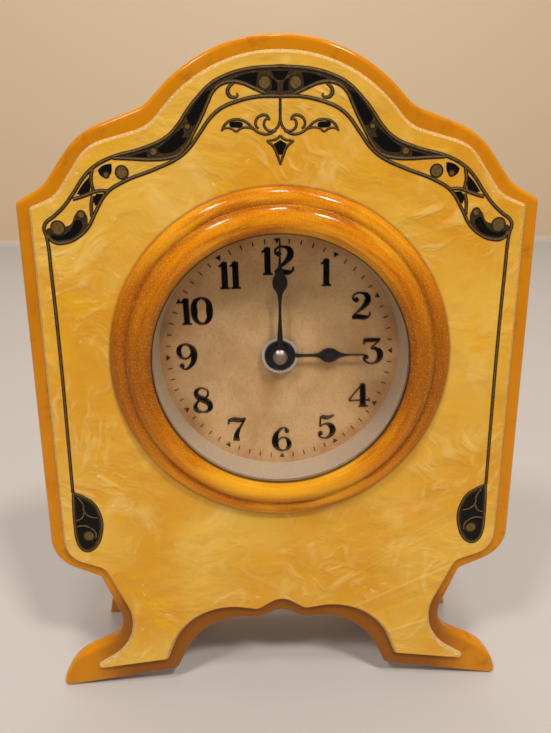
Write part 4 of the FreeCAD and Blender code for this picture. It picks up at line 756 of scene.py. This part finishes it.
def makeRoom():
    solid = bmesh.new()
    ends = [solid.verts.new((side, room["near"], 0)) for side in (-room["side"], room["side"])]
    line = solid.edges.new(ends)
    for step in ((0, room["wallAt"] - room["near"], 0), (0, 0, room["high"])):
        grown = bmesh.ops.extrude_edge_only(solid, edges=[line])["geom"]
        bmesh.ops.translate(solid, vec=step, verts=vertsOf(grown))
        line = next(part for part in grown if isinstance(part, bmesh.types.BMEdge))
    # only the edge where floor and wall meet has two faces
    corner = [edge for edge in solid.edges if len(edge.link_faces) == 2]
    bmesh.ops.bevel(solid, geom=corner, offset=room["bend"], affect="EDGES", segments=room["bendSteps"],
                    profile=0.5, material=-1)
    bmesh.ops.recalc_face_normals(solid, faces=solid.faces)
    mesh = bpy.data.meshes.new("floor")
    solid.to_mesh(mesh)
    solid.free()
    for polygon in mesh.polygons:
        polygon.use_smooth = True
    floor = bpy.data.objects.new("floor", mesh)
    bpy.context.scene.collection.objects.link(floor)
    finish = Finish("paleFloor", Base_Color=room["floor"], Roughness=0.55, Specular_IOR_Level=0.3)
    height = finish.parts(finish.node("TexCoord").outputs["Object"])["Z"]
    finish.give("Base Color", finish.tint(room["floor"], room["wall"], height, *room["turnsWallAt"]))
    mesh.materials.append(finish.material)


makeRoom()

# Light: a key from the upper right, a weaker fill from the left, one from above, and a broad cool one for
# the far floor and wall. Sizes and places are in metres.
clockMiddle = (0, 0, 0.07)
lamps = {
    "key": {"at": (0.36, -0.44, 0.95), "size": 0.12, "power": 4.9, "tint": (1.0, 0.96, 0.91)},
    "fill": {"at": (-0.42, -0.42, 0.92), "size": 0.14, "power": 3.4, "tint": (1.0, 0.97, 0.94)},
    "top": {"at": (0.02, -0.22, 1.0), "size": 0.10, "power": 1.8, "tint": (1.0, 0.96, 0.92)},
    "far": {"at": (0.0, 0.30, 0.85), "size": 0.40, "power": 1.3, "tint": (0.98, 0.98, 1.0),
            "aim": (0, 0.42, 0)},
}
for name, lamp in lamps.items():
    light = bpy.data.lights.new(name, "AREA")
    light.size, light.energy, light.color = lamp["size"], lamp["power"], lamp["tint"]
    holder = bpy.data.objects.new(name, light)
    holder.location = lamp["at"]
    sight = Vector(lamp.get("aim", clockMiddle)) - holder.location
    holder.rotation_euler = sight.to_track_quat("-Z", "Y").to_euler()
    bpy.context.scene.collection.objects.link(holder)
roomLight = {"tint": (1.0, 0.97, 0.93, 1), "strength": 0.34}
world = bpy.data.worlds.new("softRoom")
bpy.context.scene.world = world
world.use_nodes = True
background = world.node_tree.nodes["Background"].inputs
background["Color"].default_value = roomLight["tint"]
background["Strength"].default_value = roomLight["strength"]
bpy.context.scene.view_settings.view_transform = "Standard"

# Camera where the photograph was taken from: metres, degrees, and its focal length in the picture's pixels
shot = {
    "at": (-0.00417, -0.11919, 0.11936), "turn": (68.205, 0.194, -1.795),
    "focal": 560, "tall": 733, "sensor": 36, "nearest": 0.005,
}
camera = bpy.data.cameras.new("camera")
camera.sensor_width = shot["sensor"]
camera.lens = shot["focal"] / shot["tall"] * camera.sensor_width
camera.clip_start = shot["nearest"]
viewer = bpy.data.objects.new("camera", camera)
viewer.location = shot["at"]
viewer.rotation_euler = [math.radians(angle) for angle in shot["turn"]]
bpy.context.scene.collection.objects.link(viewer)
bpy.context.scene.camera = viewer
print("room, light and camera done")
